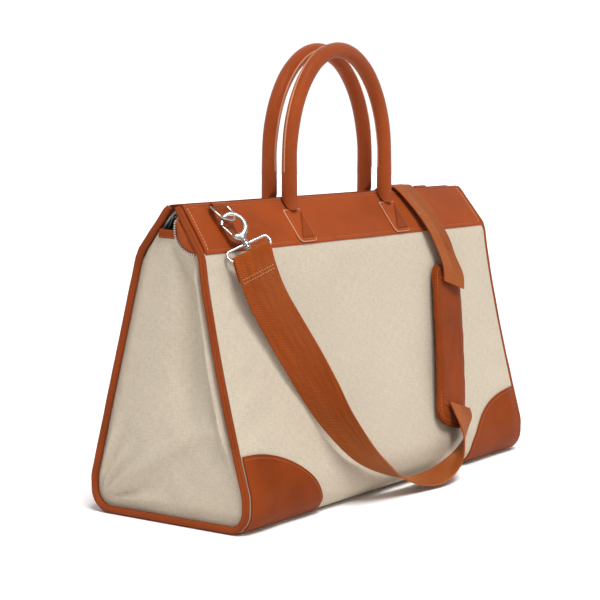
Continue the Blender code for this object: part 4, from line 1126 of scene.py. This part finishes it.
def ribbon(name, stations, start, nodes=()):
    """Webbing with a rounded selvage; start is its first station's distance along the strap."""
    half, t = STRAP_WIDTH / 2, STRAP_T / 2
    low = [(-half, 0.0), (-half + 0.0005, -t * 0.9), (-half + 0.0022, -t * 0.92), (0, -t),
           (half - 0.0022, -t * 0.92), (half - 0.0005, -t * 0.9)]
    ring = low + [(-u, -v) for u, v in low]
    shape = bmesh.new()
    layer = shape.loops.layers.uv.new("cloth")
    far = [start + d for d in lengths_of(stations)]
    rings = []
    for i, (centre, across) in enumerate(stations):
        ahead = stations[min(i + 1, len(stations) - 1)][0] - stations[max(i - 1, 0)][0]
        normal = ahead.cross(across).normalized()
        rings.append([shape.verts.new(centre + across * u + normal * v) for u, v in ring])
    for i, (one, two) in enumerate(zip(rings, rings[1:])):
        for k in range(len(ring)):
            m = (k + 1) % len(ring)
            face = shape.faces.new((one[k], one[m], two[m], two[k]))
            for loop, corner, row in zip(face.loops, (k, m, m, k), (i, i, i + 1, i + 1)):
                loop[layer].uv = (ring[corner][0], far[row])
    shape.faces.new(rings[0][::-1])
    shape.faces.new(rings[-1])
    return place(name, mesh_of(name, shape), "webbing", "webbing", nodes, angle=50)


def lengths_of(stations):
    return measured([p for p, _ in stations])


def nearest(values, wanted):
    return min(range(len(values)), key=lambda i: abs(values[i] - wanted))


def cut_at(stations, distances):
    """Split stations at distances; neighbouring pieces share the station at the cut."""
    spots = lengths_of(stations)
    marks = [0] + [nearest(spots, d) for d in distances] + [len(stations) - 1]
    return [(stations[a:b + 1], spots[a]) for a, b in zip(marks, marks[1:])]


def folded_start(side_name, stations, turn):
    """The strap's end: doubled behind, round the loop's bar, then down in front to join its run."""
    made = turn @ hook_frame()
    bar = made @ Vector((0, 0, -BAR_DROP))
    across = (made.to_3x3() @ X_AXIS).normalized()
    if across.dot(stations[0][1]) < 0:
        across = -across
    ahead = stations[8][0] - stations[0][0]
    ahead = (ahead - across * ahead.dot(across)).normalized()
    normal = ahead.cross(across).normalized()
    if normal.dot(turn.to_3x3() @ Vector((-0.6, -0.75, 0.2))) < 0:
        normal = -normal
    spots = lengths_of(stations)
    points = [p for p, _ in stations]
    doubled = []
    for d in (0.0150, 0.0125, 0.0100, 0.0075, 0.0050):
        width = stations[next(i for i in range(len(spots) - 1) if spots[i + 1] >= d)][1]
        doubled.append((at_length(points, spots, d) - normal * (FOLD_R + GAP), width))
    for a in np.linspace(0, math.pi, 9):
        doubled.append((bar - normal * FOLD_R * math.cos(a) - ahead * FOLD_R * math.sin(a), across))
    raised = [(p + normal * FOLD_R * (1 - ease(d / FOLD_BLEND)), w) for (p, w), d in zip(stations, spots)]
    rows = []
    for level in (0.0165, 0.0205):
        p, w = raised[nearest(spots, level)]
        row = [p + normal * (STRAP_T / 2) + w * u for u in np.linspace(-0.0165, 0.0165, 12)]
        rows.append(facing(row, normal))
    stitches(f"{side_name}_strap_stitching", rows, f"{side_name}_loop", (0.0019, 0.0026, 0.00026),
             "pale_thread", "webbing")
    return doubled, [station for station, d in zip(raised, spots) if d > 0.0035]


def hook_end(side_name, run, pieces, cuts, settled):
    """The strap's end at a hook: each of its pieces gets its transform baked into its mesh."""
    spans = [(run[6][0].lerp(run[8][0], 0.5), cuts[0][0][-1][0])]
    spans += [(stations[0][0], stations[-1][0]) for stations, _ in cuts[1:3]] + [(cuts[3][0][0][0], settled)]
    chain = [f"{side_name}_{part}" for part in ("loop", "hook", "ring", "lip")] + ["bag_body"]
    for piece, (start, end), a, b in zip(pieces, spans, chain, chain[1:]):
        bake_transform(piece)


def front_strap():
    doubled, run = folded_start("front", route_points(FRONT_ROUTE, 8), Matrix.Identity(4))
    cuts = cut_at(run, HOOK_CUTS)
    made = []
    for k, (stations, start) in enumerate(cuts):
        made.append(ribbon(f"strap_front_{k + 1}", (doubled if k == 0 else []) + stations, start,
                           ["strap_front"] if k == 3 else ()))
    line = [p for p, _ in cuts[3][0]]
    settled = next(i for i, d in enumerate(measured(line)) if d > STRAP_SETTLES)
    hook_end("front", run, made, cuts, line[settled - 1])


def back_strap():
    """From the pad over both lips, hanging free behind the bag, and up to the back hook."""
    back = route_points(BACK_ROUTE, 8)
    spots = lengths_of(back)
    over = min(range(len(back)), key=lambda i: abs(back[i][0].y) + (0 if back[i][0].z > 0.28 else 1))
    front_mid = next(i for i in range(len(back)) if back[i][0].z > 0.268)
    back_mid = next(i for i in range(over, len(back)) if back[i][0].z < 0.268)
    doubled, run = folded_start("back", back[::-1], TURN)
    tail = cut_at(run, [*HOOK_CUTS, 0.100])[:4]
    join = tail[3][0][-1][0]
    last = min(range(len(back)), key=lambda i: (back[i][0] - join).length)
    cuts = cut_at(back[:last + 1], [spots[i] for i in (front_mid, over, back_mid)])
    made = [ribbon(f"strap_back_{k + 1}", stations, start, ["strap_back"] if k == 3 else ())
            for k, (stations, start) in enumerate(cuts)]
    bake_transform(made[0])
    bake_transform(made[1])
    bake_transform(made[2])
    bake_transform(made[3])
    ends = [ribbon(f"strap_back_end_{k + 1}", (doubled if k == 0 else []) + stations, spots[-1] - start)
            for k, (stations, start) in enumerate(tail)]
    hook_end("back", run, ends, tail, join)


def pad_frame():
    """Frame at the pad's middle, and half its length."""
    down = (PAD_FOOT - PAD_TOP).normalized()
    out = Vector((0, -1, 0))
    out = (out - down * out.dot(down)).normalized()
    side = down.cross(out)
    made = Matrix((side, -down, side.cross(-down))).transposed().to_4x4()
    made.translation = (PAD_TOP + PAD_FOOT) / 2
    return made, (PAD_FOOT - PAD_TOP).length / 2


def shoulder_pad():
    """Leather pad: crowned, its rim stitched, with a slot near each end."""
    made, half = pad_frame()
    w, corner = PAD_WIDTH / 2, 0.014
    rows, columns = 60, 22

    def bend(v):
        return 0.0022 * (v * v - 0.4)

    def point(i, j):
        v, u = 2 * i / rows - 1, 2 * j / columns - 1
        near = half - abs(v) * half
        pinch = w if near > corner else w - corner + math.sqrt(max(corner ** 2 - (corner - near) ** 2, 0))
        edge = min((1 - abs(u)) * pinch, near)
        crown = PAD_T / 2 * (0.50 + 0.50 * ease(edge / 0.007)) + 0.0005 * wave(u, v * 3, 4.0, 2.5)
        crown -= 0.0007 * math.exp(-((edge - 0.0045) / 0.0012) ** 2)
        return (made @ Vector((pinch * u, half * v, bend(v) - crown)),
                made @ Vector((pinch * u, half * v, bend(v) + crown * 0.9)))

    mesh = shell("pad_leather_shell", rows, columns, point)
    piece = place("pad_leather_shell", mesh, "pad", "leather", ["shoulder_pad"], angle=50, body="bag_body")
    corners = oblong(w - 0.0045, 0.0045 - half, half - 0.0045)
    rim = flat_outline(corners[2:] + corners[:2], 0.0105, 6)
    line = [made @ Vector((u, v, bend(v / half) - 0.0024)) for u, v in rim + rim[:1]]
    out = -(made.to_3x3() @ Vector((0, 0, 1)))
    stitches("pad_stitching", [facing(line, out)], "bag_body", (0.0026, 0.0036, 0.00028))
    for k, v in enumerate((-half + 0.020, half - 0.016)):
        at = made @ Matrix.Translation((0, v, bend(v / half) - 0.0030))
        outline = flat_outline(oblong(0.0205, -0.0022, 0.0022), 0.002)
        mesh = extruded(f"pad_slot_{k + 1}", outline, -0.0006, 0.0004, at, 0.0002)
        place(f"pad_slot_{k + 1}", mesh, "trim", "leather", body="bag_body")


def adjuster():
    """Slide buckle on the strap's back run: a wire frame with a middle bar."""
    centre, across = (Vector(v) for v in BACK_ROUTE[ADJUSTER_STATION])
    across.normalize()
    ahead = Vector(BACK_ROUTE[ADJUSTER_STATION + 1][0]) - Vector(BACK_ROUTE[ADJUSTER_STATION - 1][0])
    ahead.normalize()
    along = (ahead - across * ahead.dot(across)).normalized()
    out = across.cross(along)
    if out.y < 0:
        along, out = -along, -out
    made = Matrix((across, along, out)).transposed().to_4x4()
    made.translation = centre + out * (STRAP_T / 2 + 0.0022)
    w, h = 0.0225, 0.0110
    ring = [made @ p for p in rounded([(u, v, 0) for u, v in oblong(w, -h, h)], 0.004, 6)]
    bar = [made @ Vector((u, 0.0003, 0)) for u in np.linspace(-w, w, 8)]
    shape = bmesh.new()
    shape.from_mesh(sweep("frame", ring, circle(0.0012, 12), closed=True, ups=[out] * len(ring)))
    shape.from_mesh(sweep("middle", bar, circle(0.0011, 12), ups=[out] * 8))
    mesh = mesh_of("adjuster_slide", shape)
    place("adjuster_slide", mesh, "nickel", "nickel", ["strap_adjuster"], angle=60, body="bag_body")


# ---- inner steel ---------------------------------------------------------------------------------
def inner_steel():
    """Frame wires, links and rivets keep their CAD shape and get their finish."""
    for name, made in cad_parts.items():
        if name.endswith(("_frame", "_stay", "_rivet")):
            made.data.materials.clear()
            made.data.materials.append(MATS["steel"])


# ---- assembly ------------------------------------------------------------------------------------
for side_name, turn, side in SIDES:
    lip = f"{side_name}_lip"
    canvas_side(f"{side_name}_canvas", side)
    band(side_name, turn, lip)
    for end_name, end in ENDS:
        patch(f"{side_name}_{end_name}_corner_leather", side, end)
        piping(side_name, turn, side, end_name, end)
        handle_tab(f"{side_name}_{end_name}_tab", turn, lip, HANDLE_SHIFT - side * end * HANDLE_HALF_SPAN)
    if side < 0:
        end_facing(lip)
    zip_row(side_name, side, lip)
    lip_lining(side_name, turn, lip)
    chape(side_name, turn, lip)
    handle(side_name, turn, f"{side_name}_handle")
    d_ring(side_name, turn)
    snap_hook(side_name, turn)
    strap_loop(side_name, turn)
for end_name, end in ENDS:
    end_canvas(f"{end_name}_end_canvas", end)
    gusset_binding(f"{end_name}_binding", end)
base()
inner_bag()
zip_slider()
front_strap()
back_strap()
shoulder_pad()
adjuster()
inner_steel()


# ---- studio --------------------------------------------------------------------------------------
def stage_panel(name, corners, mat):
    mesh = bpy.data.meshes.new(name)
    mesh.from_pydata(corners, [], [(0, 1, 2, 3)])
    mesh.materials.append(mat)
    made = bpy.data.objects.new(name, mesh)
    bpy.context.scene.collection.objects.link(made)


def studio():
    """White floor, a glowing backdrop past its middle, soft sky light and one broad window."""
    white = Nodes("studio_white").finish((0.97, 0.97, 0.97), 0.9, Specular_IOR_Level=0.0)
    stage_panel("studio_floor", [(-9, -9, 0), (9, -9, 0), (9, 9, 0), (-9, 9, 0)], white)
    glow = Nodes("studio_glow").finish((0, 0, 0), 1.0, Emission_Strength=1.05, Emission_Color=(1, 1, 1, 1))
    stage_panel("studio_backdrop", [(0, 11, -1), (11, 0, -1), (11, 0, 9), (0, 11, 9)], glow)
    world = bpy.data.worlds.new("studio_world")
    bpy.context.scene.world = world
    world.use_nodes = True
    sky = world.node_tree.nodes["Background"]
    sky.inputs["Color"].default_value = (1.0, 0.99, 0.975, 1)
    sky.inputs["Strength"].default_value = 0.47
    light = bpy.data.lights.new("window", "SUN")
    light.angle = math.radians(24)
    light.energy = 3.0
    lamp = bpy.data.objects.new("window", light)
    bpy.context.scene.collection.objects.link(lamp)
    lamp.rotation_euler = Vector((0.30, 0.52, -1.08)).to_track_quat("-Z", "Y").to_euler()
    bpy.context.scene.view_settings.view_transform = "Standard"


def camera():
    azimuth, elevation = math.radians(-54.26), math.radians(6.33)
    target = Vector((-0.0488, 0.0, 0.1868))
    level = math.cos(elevation)
    away = Vector((math.sin(azimuth) * level, -math.cos(azimuth) * level, math.sin(elevation)))
    data = bpy.data.cameras.new("photo_camera")
    data.sensor_width = 36.0
    data.lens = 105.4
    data.clip_start = 0.05
    made = bpy.data.objects.new("photo_camera", data)
    bpy.context.scene.collection.objects.link(made)
    made.location = target + away * 1.731
    made.rotation_euler = (-away).to_track_quat("-Z", "Y").to_euler()
    bpy.context.scene.camera = made


studio()
camera()
